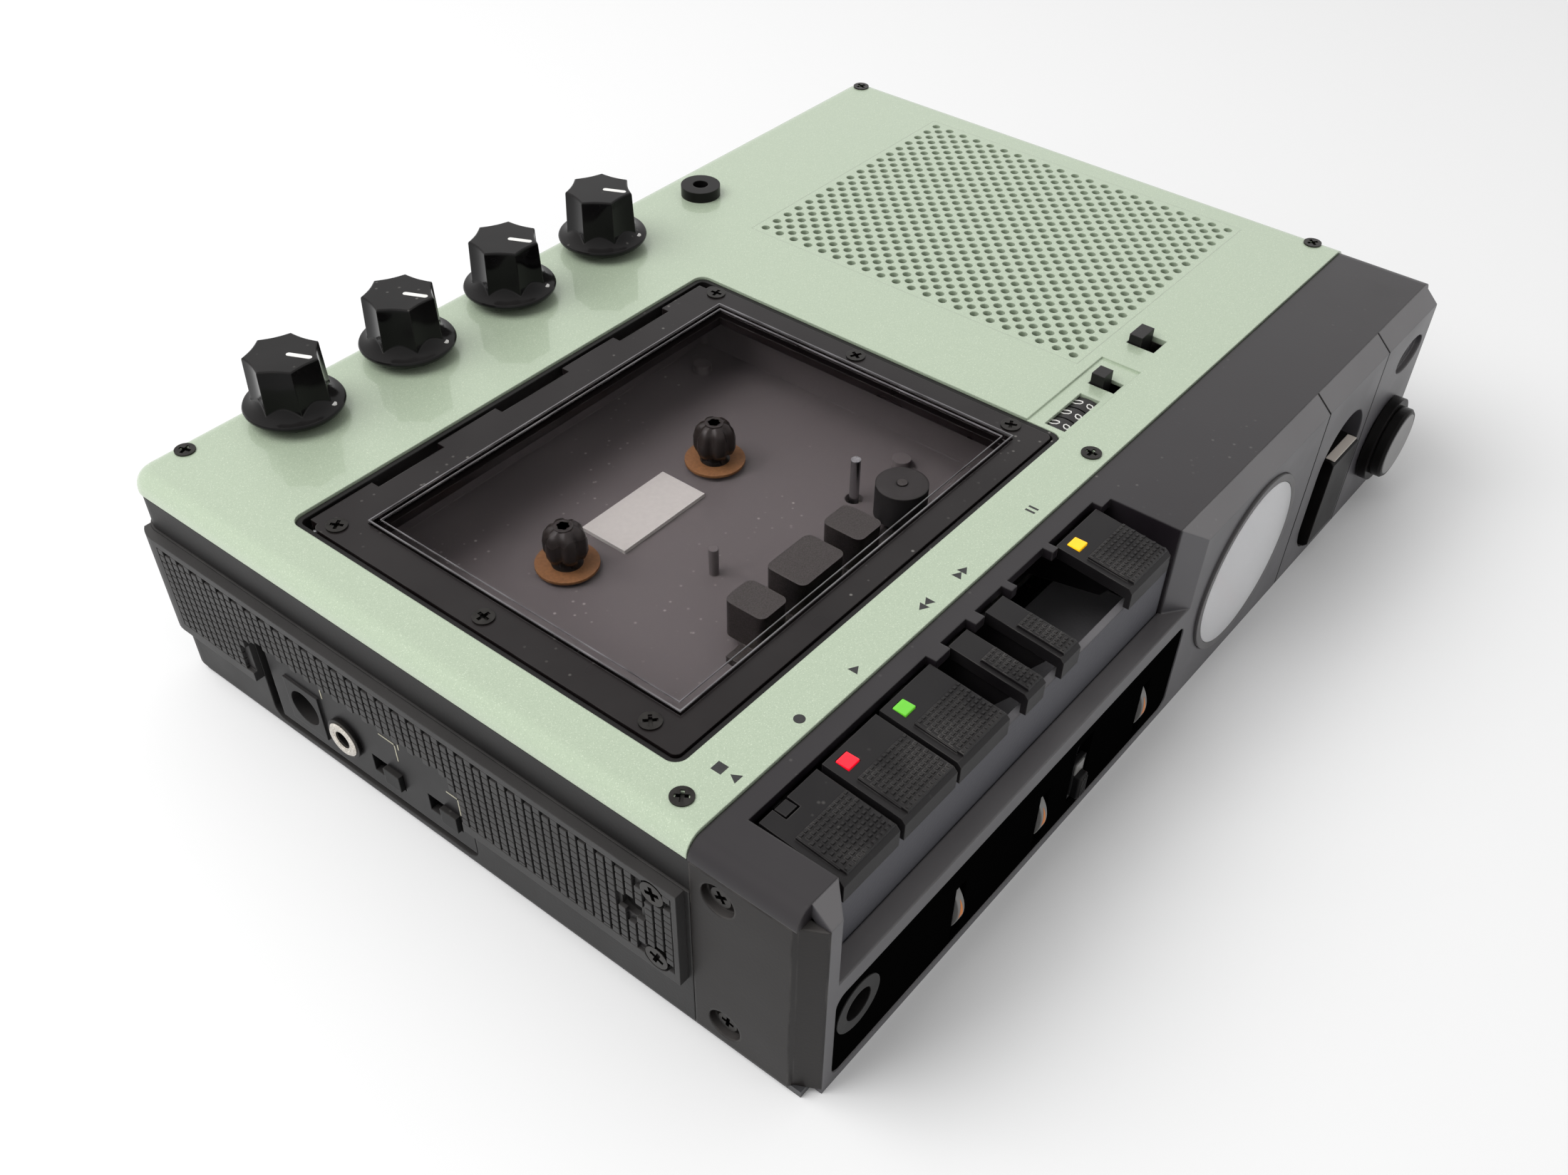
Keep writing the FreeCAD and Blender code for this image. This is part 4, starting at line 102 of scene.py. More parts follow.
def effect(name, inputs, outputs):
    """Node group with inputs (name, kind, value) and outputs (name, kind); returns its two ends."""
    group = bpy.data.node_groups.new(name, "ShaderNodeTree")
    for title, kind, value in inputs:
        group.interface.new_socket(title, in_out="INPUT", socket_type="NodeSocket" + kind).default_value = value
    for title, kind in outputs:
        group.interface.new_socket(title, in_out="OUTPUT", socket_type="NodeSocket" + kind)
    return group, group.nodes.new("NodeGroupInput").outputs, group.nodes.new("NodeGroupOutput").inputs


def use(tree, group, sockets):
    """A node group placed in a material."""
    return add(tree, "Group", sockets, node_tree=group)


# Texture of a grained mould: rounded pebbles of one size over a fine unevenness.
grained_mould, here, out = effect("grained_mould", [("Pebble", "Float", 0.5)],
                                  [("Height", "Float"), ("Tone", "Float")])
place = add(grained_mould, "TexCoord")["Object"]
density = add(grained_mould, "Math", {0: 1.0 / MM, 1: here["Pebble"]}, operation="DIVIDE")[0]
pebbles = add(grained_mould, "TexVoronoi", {"Vector": place, "Scale": density}, feature="SMOOTH_F1")["Distance"]
height = add(grained_mould, "Math", {0: cloud(grained_mould, 2400.0), 1: 0.25, 2: pebbles},
             operation="MULTIPLY_ADD")[0]
grained_mould.links.new(height, out["Height"])
grained_mould.links.new(cloud(grained_mould, 60.0, 3.0), out["Tone"])

# Edges of moulded and painted pieces: slightly rounded, and rubbed where hands reach them.
handled_edge, here, out = effect("handled_edge", [("Radius", "Float", 0.3)],
                                 [("Normal", "Vector"), ("Rubbed", "Float")])
rounded = add(handled_edge, "Bevel", {"Radius": times(handled_edge, here["Radius"], MM)}, samples=4)["Normal"]
flat = add(handled_edge, "NewGeometry")["Normal"]
facing = add(handled_edge, "VectorMath", {0: rounded, 1: flat}, operation="DOT_PRODUCT")["Value"]
turned_edge = spread(handled_edge, facing, 1.0, 0.0, 0.80, 0.99)
patchy = spread(handled_edge, cloud(handled_edge, 140.0, 5.0), 0.1, 1.0, 0.4, 0.65)
handled_edge.links.new(rounded, out["Normal"])
handled_edge.links.new(times(handled_edge, turned_edge, patchy), out["Rubbed"])

# Fine dust that settles on what faces up, and a painted sheen: a paler tone on what faces up, standing in for the
# light that tops reflect.
dust_and_sheen, here, out = effect("dust_and_sheen", [("Amount", "Float", 0.3)],
                                 [("Mask", "Float"), ("Sheen", "Float")])
place = add(dust_and_sheen, "TexCoord")["Object"]
specks = add(dust_and_sheen, "TexVoronoi", {"Vector": place, "Scale": 420.0, "Randomness": 1.0})["Distance"]
drift = cloud(dust_and_sheen, 35.0, 6.0)
upward = add(dust_and_sheen, "SeparateXYZ", {"Vector": add(dust_and_sheen, "NewGeometry")["Normal"]})["Z"]
lying = times(dust_and_sheen, spread(dust_and_sheen, specks, 1.0, 0.0, 0.05, 0.16),
              spread(dust_and_sheen, drift, 0.0, 1.0, 0.52, 0.68))
lying = times(dust_and_sheen, lying, spread(dust_and_sheen, upward, 0.0, 1.0, 0.5, 0.9))
dust_and_sheen.links.new(times(dust_and_sheen, lying, here["Amount"]), out["Mask"])
# Painted sheen: what faces up gets a paler tone, standing in for the light its top reflects.
top_sheen = times(dust_and_sheen, spread(dust_and_sheen, upward, 0.0, 1.0, 0.1, 0.95),
               spread(dust_and_sheen, drift, 0.85, 1.0, 0.3, 0.7))
dust_and_sheen.links.new(top_sheen, out["Sheen"])


def finish(name):
    """Empty material; returns it and its tree."""
    made = bpy.data.materials.new(name)
    made.use_nodes = True
    made.node_tree.nodes.clear()
    return made, made.node_tree


def face(tree, sockets):
    """The surface that a material ends in."""
    add(tree, "OutputMaterial", {"Surface": add(tree, "BsdfPrincipled", sockets)[0]})


def moulding(name, colour, roughness, pebble=0.5, relief=0.12, radius=0.3, rubbed=0.25, dust=0.2, sheen=0.1,
             specular=0.2, floor=None, painted_haze=None):
    """Moulded plastic: its own colour, grain size in mm and depth, edge radius in mm, wear, and a painted sheen that
    lightens what faces up.
    With a floor height in mm, what lies below it has a second, paler colour, painted light, and nothing above it gets
    the painted sheen."""
    made, tree = finish(name)
    grain = use(tree, grained_mould, {"Pebble": pebble})
    edge = use(tree, handled_edge, {"Radius": radius})
    lying = use(tree, dust_and_sheen, {"Amount": dust})
    sheen_mask = times(tree, lying["Sheen"], sheen)
    if floor is not None:
        level = add(tree, "SeparateXYZ", {0: add(tree, "NewGeometry")["Position"]})["Z"]
        below = spread(tree, level, 1.0, 0.0, floor * MM, (floor + 1.0) * MM)
        sheen_mask = times(tree, sheen_mask, below)
        # Painted light: below the floor height the colour turns to the paler one.
        colour = mix(tree, below, colour, painted_haze)
    # Painted sheen: what faces up is mixed towards a pale grey, standing in for the light its top reflects.
    body = mix(tree, sheen_mask, colour, srgb(138, 134, 132))
    body = mix(tree, spread(tree, grain["Tone"], 0.0, 0.03, 0.35, 0.7), body, srgb(128, 126, 124))
    worn = mix(tree, times(tree, edge["Rubbed"], rubbed), body, srgb(120, 117, 114))
    face(tree, {
        "Base Color": mix(tree, lying["Mask"], worn, srgb(196, 192, 186)),
        "Roughness": spread(tree, grain["Tone"], roughness - 0.05, roughness + 0.07, 0.3, 0.7),
        "Specular IOR Level": specular,
        "Normal": bump(tree, grain["Height"], relief, normal=edge["Normal"])})
    return made


def dress(material, *names):
    """Gives CAD nodes their finish."""
    for name in names:
        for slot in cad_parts[name].material_slots:
            slot.material = material


case_black = moulding("case_black", srgb(24, 23, 23), 0.5, pebble=0.45, relief=0.18, radius=0.4, rubbed=0.25,
                      specular=0.34)
dress(case_black, "lower_case", "upper_case", "battery_bay")


# ==================== base plate and battery hatch
# Pressed steel base, painted dark grey, and the moulded hatch that slides in its rear edge.
def two_tone(name, first, second, roughness, scale, detail=2.0, relief=0.0):
    """Plain finish that wavers between two colours, over a surface as uneven as its relief."""
    made, tree = finish(name)
    tone = cloud(tree, scale, detail)
    sockets = {"Base Color": mix(tree, tone, first, second), "Roughness": roughness}
    if relief:
        sockets["Normal"] = bump(tree, tone, relief)
    face(tree, sockets)
    return made


dress(two_tone("base_steel", srgb(58, 58, 60), srgb(70, 70, 72), 0.45, 700.0, relief=0.15), "base_plate")
dress(moulding("hatch_black", srgb(38, 37, 37), 0.5, pebble=0.6, relief=0.2), "battery_hatch")


# ==================== board, motor, flywheel
# The works under the deck: a zinc-plated chassis, a turned flywheel on the capstan, the motor can, and
# the green circuit board with its tinned tracks.
def metal(name, colour, roughness, brushed=(1.0, 1.0, 1.0), streak=0.08, grain=600.0, radius=0.15):
    """Bare or plated metal with a grain drawn out along the axes where brushed is small."""
    made, tree = finish(name)
    place = add(tree, "TexCoord")["Object"]
    drawn = add(tree, "VectorMath", {0: place, 1: brushed}, operation="MULTIPLY")["Vector"]
    lines = add(tree, "TexNoise", {"Vector": drawn, "Scale": grain, "Detail": 4.0})["Fac"]
    edge = use(tree, handled_edge, {"Radius": radius})
    dark = tuple(0.62 * part for part in colour[:3]) + (1.0,)
    face(tree, {
        "Base Color": mix(tree, spread(tree, lines, 0.0, 1.0, 0.3, 0.7), dark, colour), "Metallic": 1.0,
        "Roughness": spread(tree, lines, roughness - streak, roughness + streak, 0.3, 0.7),
        "Normal": bump(tree, lines, 0.08, 0.05, edge["Normal"])})
    return made


dress(metal("zinc_plate", srgb(168, 166, 158), 0.38), "chassis_plate", "counter_frame", "drive_motor")
dress(metal("turned_steel", srgb(188, 188, 190), 0.25, brushed=(1.0, 1.0, 0.05)), "capstan_flywheel", "hinge_rods")
dress(metal("head_steel", srgb(106, 102, 100), 0.42, streak=0.03, grain=4000.0), "head_carriage")

board_green, tree = finish("board_green")
place = add(tree, "TexCoord")["Object"]
tracks = add(tree, "TexBrick", {"Vector": place, "Scale": 160.0, "Mortar Size": 0.03, "Brick Width": 0.9,
                                "Row Height": 0.35}, offset=0.37)["Fac"]
islands = add(tree, "TexVoronoi", {"Vector": place, "Scale": 260.0})["Distance"]
pads = spread(tree, islands, 1.0, 0.0, 0.16, 0.2)
lacquer = mix(tree, tracks, srgb(22, 74, 46), srgb(52, 112, 70))
face(tree, {"Base Color": mix(tree, pads, lacquer, srgb(196, 192, 178)), "Metallic": spread(tree, pads, 0.0, 1.0),
            "Roughness": 0.35, "Coat Weight": 0.3})
dress(board_green, "circuit_board")
dress(moulding("pot_black", srgb(30, 30, 32), 0.45), "control_pots")

dress(moulding("roller_rubber", srgb(28, 27, 27), 0.75, pebble=0.3, relief=0.1, radius=0.5, rubbed=0.0),
      "pinch_roller")


# ==================== cassette tub
# Black moulded tub that drops through the lid, with two driving hubs on felt rings and the pale card
# that lights the cassette's window from behind.
# The tub is a paler grey below 43 mm, where it is seen through the window: painted light standing in for the haze the
# window lays over its shaded floor and walls.
deck_black = moulding("deck_black", srgb(20, 18, 18), 0.42, pebble=0.3, relief=0.02, radius=0.4, rubbed=0.1,
                      dust=0.6, sheen=0.0, floor=43.0, painted_haze=srgb(92, 87, 87))
dress(deck_black, "cassette_well")
hub_black = moulding("hub_black", srgb(38, 33, 31), 0.22, pebble=0.3, relief=0.0, radius=0.3, rubbed=0.1, sheen=0.01,
                     specular=0.25)
dress(hub_black, "spindle_supply", "spindle_takeup")

dress(two_tone("card_white", srgb(170, 167, 163), srgb(181, 178, 173), 0.8, 900.0, 4.0, 0.1), "reflector")


def placed(name, data):
    """New object in the scene."""
    made = bpy.data.objects.new(name, data)
    bpy.context.scene.collection.objects.link(made)
    return made


def piece(name, work, material, body, replaced=(), crease=None):
    """Shape, which is used up, as a named piece that rides a body, with the slot its finish is known by. Its faces
    stay flat, or run smoothly over all edges up to a crease in degrees."""
    bmesh.ops.recalc_face_normals(work, faces=work.faces)
    mesh = bpy.data.meshes.new(name)
    work.to_mesh(mesh)
    work.free()
    if crease:
        mesh.shade_smooth()
        mesh.set_sharp_from_angle(angle=math.radians(crease))
    else:
        mesh.shade_flat()
    made = placed(name, mesh)
    mesh.materials.append(material)
    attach(made, body)
    if replaced:
        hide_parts(*replaced)


def upright(x, y, z):
    """Frame at a point, with w straight up."""
    return Matrix.Translation((x, y, z))


def around(steps, start=0.0):
    """Cosine and sine of even turns about an axis."""
    turns = [start + 2 * math.pi * k / steps for k in range(steps)]
    return [(math.cos(angle), math.sin(angle)) for angle in turns]


def turn(work, profile, frame_at, steps=32):
    """Adds a closed turned shape: (radius, height) pairs in mm about the frame's w axis."""
    rings = []
    for radius, level in profile:
        outline = around(steps) if radius else [(0, 0)]
        rings.append([work.verts.new(frame_at @ (Vector((radius * c, radius * s, level)) * MM)) for c, s in outline])
    pairs = list(zip(rings, rings[1:]))
    if len(rings[0]) > 1:
        pairs.append((rings[-1], rings[0]))
    for low, high in pairs:
        for k in range(steps):
            corners = [low[k % len(low)], low[(k + 1) % len(low)], high[(k + 1) % len(high)], high[k % len(high)]]
            work.faces.new(list(dict.fromkeys(corners)))


def loft(work, rings, looped=False):
    """Joins rings of vertices one after the other. Both ends are closed, or joined if it's looped."""
    for lower, upper in zip(rings, rings[1:] + rings[:looped]):
        for k in range(len(lower)):
            m = (k + 1) % len(lower)
            work.faces.new([lower[k], lower[m], upper[m], upper[k]])
    if not looped:
        work.faces.new(rings[0][::-1])
        work.faces.new(rings[-1])


def fluted(work, centre, profile, steps, flute, start=0.0):
    """Adds an upright solid: (radius, height) pairs in mm, with a share of the radius for each step round it."""
    shape = [(flute(k) * c, flute(k) * s) for k, (c, s) in enumerate(around(steps, start))]
    at = upright(centre.x, centre.y, 0.0)
    loft(work, [[work.verts.new(at @ (Vector((radius * u, radius * v, level)) * MM)) for u, v in shape]
                for radius, level in profile])


FELT_IN, FELT_OUT, FELT_T = 3.1, 6.2, 0.5
FELT_LIFT = 0.9           # foot of the felt above the card's
CAP_R, CAP_FOOT, CAP_FINS = 4.3, 35.4, 6
FIN_DEPTH = 0.22          # how far the hollows between the fins go in, as a share of the radius
FIN_STEPS = 8
felt_brown = two_tone("felt_brown", srgb(92, 60, 34), srgb(140, 97, 58), 0.7, 1600.0, 5.0, 0.3)


def fin(k):
    """Share of a hub cap's radius at a step round it."""
    return 1.0 - FIN_DEPTH * (0.5 - 0.5 * math.cos(2 * math.pi * k / FIN_STEPS)) ** 3


for body in ("spindle_supply", "spindle_takeup"):
    low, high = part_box(body)
    centre = (low + high) / 2
    work = bmesh.new()
    turn(work, [(FELT_IN, 0), (FELT_OUT, 0), (FELT_OUT, FELT_T), (FELT_IN, FELT_T)],
         upright(centre.x, centre.y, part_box("reflector")[0].z + FELT_LIFT * MM))
    piece(body + "_felt", work, felt_brown, body)
    work = bmesh.new()
    top = high.z / MM
    profile = ((0.62, CAP_FOOT), (0.9, CAP_FOOT + 0.5), (1.0, CAP_FOOT + 1.6), (1.0, top - 3.2),
               (0.9, top - 1.6), (0.68, top - 0.5), (0.3, top), (0.02, top))
    fluted(work, centre, [(CAP_R * share, level) for share, level in profile], FIN_STEPS * CAP_FINS, fin)
    piece(body + "_cap", work, hub_black, body, crease=180.0)


# ==================== lid
# Pressed aluminium lid with rolled edges, sprayed pale green with a fine metal fleck and clear-coated.
metal_fleck, here, out = effect("metal_fleck", [("Size", "Float", 0.12)], [("Fleck", "Float"), ("Height", "Float")])
place = add(metal_fleck, "TexCoord")["Object"]
density = add(metal_fleck, "Math", {0: 1.0 / MM, 1: here["Size"]}, operation="DIVIDE")[0]
cells = add(metal_fleck, "TexVoronoi", {"Vector": place, "Scale": density})["Color"]
metal_fleck.links.new(add(metal_fleck, "SeparateColor", {"Color": cells})[0], out["Fleck"])
metal_fleck.links.new(cloud(metal_fleck, 350.0, 1.0), out["Height"])

lid_green, tree = finish("lid_green")
fleck = use(tree, metal_fleck, {"Size": 0.14})
edge = use(tree, handled_edge, {"Radius": 0.35})
sprayed = mix(tree, spread(tree, fleck["Fleck"], 0.0, 1.0), srgb(172, 187, 163), srgb(184, 198, 174))
sprayed = mix(tree, spread(tree, fleck["Fleck"], 0.0, 0.4, 0.93, 0.97), sprayed, srgb(220, 230, 210))
face(tree, {"Base Color": mix(tree, times(tree, edge["Rubbed"], 0.3), sprayed, srgb(214, 220, 206)),
            "Metallic": 0.2, "Roughness": spread(tree, fleck["Fleck"], 0.4, 0.5),
            "Coat Weight": 0.7, "Coat Roughness": 0.05,
            "Normal": bump(tree, fleck["Height"], 0.02, normal=edge["Normal"])})
dress(lid_green, "top_cover")


# ==================== loudspeaker and its holes
# The lid is punched with staggered rows of holes over the loudspeaker. A black cloth lies behind them.
HOLE_R = 0.98             # mm
HOLE_PITCH = 4.0          # along a row
ROW_PITCH = 2.0375        # from row to row
HOLE_X0, HOLE_Y0 = 34.1, -33.2
LONG_ROW, ROWS = 18, 41
HOLE_STEPS = 12
low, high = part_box("speaker_grille")
work = bmesh.new()
grid = {}


def corner(x, y):
    """Vertex of the sheet at a place in mm, shared by the cells that meet there."""
    key = (round(x, 3), round(y, 3))
    if key not in grid:
        grid[key] = work.verts.new((x * MM, y * MM, high.z))
    return grid[key]


half_x, half_y = HOLE_PITCH / 2, ROW_PITCH / 2
q = half_x / 2            # quarter of a pitch
rim = [(half_x, 0), (half_x, half_y), (q, half_y), (0, half_y), (-q, half_y), (-half_x, half_y),
       (-half_x, 0), (-half_x, -half_y), (-q, -half_y), (0, -half_y), (q, -half_y), (half_x, -half_y)]
for row in range(ROWS):
    short = row % 2
    y = HOLE_Y0 + row * ROW_PITCH
    for k in range(LONG_ROW - short):
        x = HOLE_X0 + short * half_x + k * HOLE_PITCH
        ring = [corner(x + HOLE_R * c, y + HOLE_R * s) for c, s in around(HOLE_STEPS)]
        outer = [corner(x + u, y + v) for u, v in rim]
        for n in range(HOLE_STEPS):
            m = (n + 1) % HOLE_STEPS
            work.faces.new([ring[n], outer[n], outer[m], ring[m]])
    if short:
        for x in (HOLE_X0 - q, HOLE_X0 + (LONG_ROW - 1) * HOLE_PITCH + q):
            work.faces.new([corner(x + u, y + v) for u, v in (
                (-q, -half_y), (0, -half_y), (q, -half_y), (q, 0), (q, half_y), (0, half_y), (-q, half_y), (-q, 0))])
field_x0, field_x1 = HOLE_X0 - half_x, HOLE_X0 + (LONG_ROW - 1) * HOLE_PITCH + half_x
field_y0, field_y1 = HOLE_Y0 - half_y, HOLE_Y0 + (ROWS - 1) * ROW_PITCH + half_y
x0, x1, y0, y1 = low.x / MM, high.x / MM, low.y / MM, high.y / MM
across = [field_x0 + n * q for n in range(4 * LONG_ROW + 1)]
along = [field_y0 + n * half_y for n in range(2 * ROWS + 1)]
for y, end in ((field_y0, y0), (field_y1, y1)):
    work.faces.new([corner(x, y) for x in across] + [corner(x1, end), corner(x0, end)])
for x, end in ((field_x0, x0), (field_x1, x1)):
    work.faces.new([corner(x, y) for y in along] + [corner(end, y1), corner(end, y0)])
bmesh.ops.recalc_face_normals(work, faces=work.faces)
if next(iter(work.faces)).normal.z < 0:
    bmesh.ops.reverse_faces(work, faces=work.faces)
bmesh.ops.solidify(work, geom=work.faces, thickness=(high.z - low.z))
piece("punched_lid", work, lid_green, "case", ["speaker_grille"])

cloth_black, tree = finish("cloth_black")
place = add(tree, "TexCoord")["Object"]
warp = add(tree, "TexWave", {"Vector": place, "Scale": 900.0}, bands_direction="X")["Fac"]
weft = add(tree, "TexWave", {"Vector": place, "Scale": 900.0}, bands_direction="Y")["Fac"]
weave = times(tree, warp, weft)
face(tree, {"Base Color": mix(tree, weave, srgb(10, 10, 10), srgb(34, 33, 32)), "Roughness": 0.9,
            "Normal": bump(tree, weave, 0.4)})


def block(work, low, high, edge=0.0, frame_at=Matrix()):
    """Adds a box between two corners in mm, with rounded edges."""
    made = bmesh.ops.create_cube(work, size=1.0)["verts"]
    size = [(b - a) * MM for a, b in zip(low, high)]
    middle = [(b + a) / 2 * MM for a, b in zip(low, high)]
    shaped = frame_at @ Matrix.Translation(middle) @ Matrix.Diagonal((*size, 1.0))
    bmesh.ops.transform(work, matrix=shaped, verts=made)
    if edge:
        edges = list({e for v in made for e in v.link_edges})
        bmesh.ops.bevel(work, geom=edges, offset=edge * MM, segments=2, affect="EDGES", profile=0.5)


CLOTH_IN, CLOTH_Z0, CLOTH_Z1 = 0.3, -0.25, -0.05      # inside the sheet's edge, and under its foot
work = bmesh.new()
block(work, (x0 + CLOTH_IN, y0 + CLOTH_IN, low.z / MM + CLOTH_Z0),
      (x1 - CLOTH_IN, y1 - CLOTH_IN, low.z / MM + CLOTH_Z1), 0.05)
piece("speaker_cloth", work, cloth_black, "case")
dress(moulding("speaker_cone", srgb(30, 29, 28), 0.8, pebble=0.6, relief=0.3), "speaker_driver")


# ==================== knobs
# Four seven-sided knobs of hard black plastic on the rear of the lid. Each has a white line filled
# into its top and a white dot on its skirt, both pointing to its setting.
knob_black = moulding("knob_black", srgb(7, 6, 7), 0.12, pebble=0.8, relief=0.0, radius=0.3, rubbed=0.25,
                      dust=0.3, sheen=0.04, specular=0.12)
marking_white = two_tone("marking_white", srgb(226, 224, 220), srgb(246, 245, 242), 0.5, 1200.0, 3.0)
POINTING = math.radians(-64.0)
LINE_R0, LINE_R1, LINE_W = 0.9, 6.1, 1.05
DOT_R, DOT_PLACE = 0.62, 8.3
SIDES, HOLLOW = 7, 0.05   # faces round the grip, and how far each one hollows in
SIDE_STEPS = 8            # steps across one face
KNOB_H = 12.4             # top of the knob above the foot of its skirt
INK = 0.06                # thickness of filled or printed markings


def slab(work, outline, low, high, frame_at=Matrix()):
    """Adds a prism of an outline of (u, v) points in mm between two heights in mm."""
    loft(work, [[work.verts.new(frame_at @ (Vector((u, v, level)) * MM)) for u, v in outline]
                for level in (low, high)])


def pill(u0, u1, width, steps=8):
    """Outline of a round-ended bar along u."""
    half = width / 2
    turns = [math.pi * (k / steps - 0.5) for k in range(steps + 1)]
    round_end = [(half * math.cos(angle), half * math.sin(angle)) for angle in turns]
    return [(u1 - half + u, v) for u, v in round_end] + [(u0 + half - u, -v) for u, v in round_end]


def disc(radius, u=0.0, v=0.0, steps=20):
    """Outline of a round spot."""
    return [(u + radius * c, v + radius * s) for c, s in around(steps)]


def grip(k):
    """Share of a knob's radius at a step round its grip."""
    off = (k % SIDE_STEPS - 4) / 4                            # -1 and 1 at the ridges, 0 at mid face
    flat = math.cos(math.pi / SIDES) / math.cos(off * math.pi / SIDES)
    return flat * (1 - HOLLOW * (1 - off * off))


for number in range(1, 5):
    body = f"knob_{number}"
    low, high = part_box(body)
    centre = (low + high) / 2
    dress(knob_black, body)
    foot, top = high.z / MM - KNOB_H, high.z / MM
    work = bmesh.new()
    turn(work, [(5.9, foot), (8.1, foot + 0.5), (9.2, foot + 1.0), (9.72, foot + 1.6), (9.8, foot + 2.0),
                (9.6, foot + 2.35), (9.1, foot + 2.5), (8.4, foot + 2.7), (7.6, foot + 3.2), (6.8, foot + 4.1),
                (5.8, foot + 5.6), (3.0, foot + 5.6)], upright(centre.x, centre.y, 0.0), steps=64)
    profile = ((7.9, foot + 2.0), (7.7, foot + 4.0), (7.4, top - 0.45), (7.3, top - 0.15), (7.0, top))
    fluted(work, centre, profile, SIDES * SIDE_STEPS, grip, POINTING)
    piece(body + "_shell", work, knob_black, body, replaced=(body,), crease=30.0)
    turned = Matrix.Rotation(POINTING, 4, "Z")
    work = bmesh.new()
    slab(work, pill(LINE_R0, LINE_R1, LINE_W), -0.3, INK, upright(centre.x, centre.y, high.z) @ turned)
    slab(work, disc(DOT_R, DOT_PLACE), foot + 2.2, foot + 2.75 + INK, upright(centre.x, centre.y, 0.0) @ turned)
    piece(body + "_marks", work, marking_white, body)


# ==================== control jack
# Small socket beside the knobs, the side sockets, the headphone collar and the microphone barrel, all
# of one dark make with black nuts.
dress(moulding("socket_black", srgb(10, 9, 9), 0.28, pebble=0.4, relief=0.03, radius=0.3, rubbed=0.3, sheen=0.03,
               specular=0.12), "jack_sockets")


# ==================== counter and buttons
# Three white-on-black digit wheels under a slot in the lid, and two push buttons in their own slots.
wheel_black = moulding("wheel_black", srgb(10, 10, 11), 0.4, pebble=0.4, relief=0.03, rubbed=0.1)
dress(wheel_black, "counter_wheels")
button_black = moulding("button_black", srgb(14, 13, 14), 0.4, pebble=0.4, relief=0.1, radius=0.35, sheen=0.08)
dress(button_black, "reset_button", "memory_button")
DIGIT_H, DIGIT_THINNED = 4.0, 0.07
WHEEL_RADIUS = 5.4
WHEELS_X0, WHEELS_W, WHEEL_GAP = 10.6, 12.8, 0.4
WHEEL_W = (WHEELS_W - 2 * WHEEL_GAP) / 3
SHOWING = math.radians(14.0)    # how far the noughts lean forward
digits = bmesh.new()
low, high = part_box("counter_wheels")
axis = (low + high) / 2


def add_curve(work, curve, frame_at):
    """Adds the solid of a filled curve, which is removed."""
    shape = placed("outline", curve)
    bpy.context.view_layer.update()
    made = bpy.data.meshes.new_from_object(shape)
    bpy.data.objects.remove(shape)
    made.transform(frame_at)
    work.from_mesh(made)
    bpy.data.meshes.remove(made)


for wheel in range(3):
    for value in range(10):
        curve = bpy.data.curves.new("digit", "FONT")
        curve.body, curve.size, curve.align_x, curve.align_y = str(value), DIGIT_H * MM, "CENTER", "CENTER"
        curve.extrude, curve.resolution_u, curve.offset = INK * MM, 2, -DIGIT_THINNED * MM
        x = WHEELS_X0 + WHEEL_W / 2 + wheel * (WHEEL_W + WHEEL_GAP)
        add_curve(digits, curve, Matrix.Translation((x * MM, axis.y, axis.z))
                  @ Matrix.Rotation(-2 * math.pi * value / 10 - SHOWING, 4, "X")
                  @ Matrix.Translation((0, 0, WHEEL_RADIUS * MM)))
piece("counter_digits", digits, marking_white, "counter_wheels")


# ==================== cassette door, window
# Black door hinged at the rear of the tub, held together by six screws, with a clear window that
# stands a little proud and has bevelled edges.
door_black = moulding("door_black", srgb(18, 12, 13), 0.3, pebble=0.5, relief=0.03, radius=0.35, rubbed=0.2,
                      dust=0.5, sheen=0.03)
dress(door_black, "cassette_door")


def clear(name, scale, detail, first, second, shade, sockets, frosted=None):
    """See-through plastic that wavers between two colours, and between two roughnesses where it's frosted. The
    light that it lets through to what lies behind it has its shade."""
    made, tree = finish(name)
    haze = cloud(tree, scale, detail)
    if frosted:
        sockets["Roughness"] = spread(tree, haze, *frosted, 0.35, 0.65)
    pane = add(tree, "BsdfPrincipled", {"Base Color": mix(tree, haze, first, second), **sockets})[0]
    open_to_light = add(tree, "BsdfTransparent", {"Color": shade})[0]
    shadow = add(tree, "LightPath")["Is Shadow Ray"]
    add(tree, "OutputMaterial", {"Surface": add(tree, "MixShader", {0: shadow, 1: pane, 2: open_to_light})[0]})
    return made


dress(clear("door_clear", 25.0, 8.0, srgb(228, 226, 227), srgb(232, 230, 231), srgb(228, 226, 227),
            {"Roughness": 0.0, "IOR": 1.0, "Transmission Weight": 1.0, "Specular IOR Level": 0.0}), "door_window")
# Painted highlight on the window's polished bevel: pale strips along its outer and inner lines stand in for the light
# they catch.
bevel_glint, tree = finish("bevel_glint")
glint_waver = spread(tree, cloud(tree, 120.0, 6.0), 0.0, 1.0, 0.3, 0.7)
face(tree, {"Base Color": mix(tree, glint_waver, srgb(70, 67, 69), srgb(122, 120, 122)), "Roughness": 0.2})
BEVEL_LINES = ((0.0, 0.26), (1.5, 0.16))        # distance from the window's edge, and width
BEVEL_SUNK, BEVEL_PROUD = -0.25, 0.02
low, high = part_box("door_window")
work = bmesh.new()
for inset, width in BEVEL_LINES:
    section = ((inset, BEVEL_SUNK), (inset, BEVEL_PROUD), (inset + width, BEVEL_PROUD), (inset + width, BEVEL_SUNK))
    rings = []
    for x, y, side_x, side_y in ((low.x, low.y, 1, 1), (high.x, low.y, -1, 1), (high.x, high.y, -1, -1),
                                 (low.x, high.y, 1, -1)):
        rings.append([work.verts.new((x + side_x * away * MM, y + side_y * away * MM, high.z + lift * MM))
                      for away, lift in section])
    loft(work, rings, looped=True)
piece("door_window_bevel", work, bevel_glint, "cassette_door")


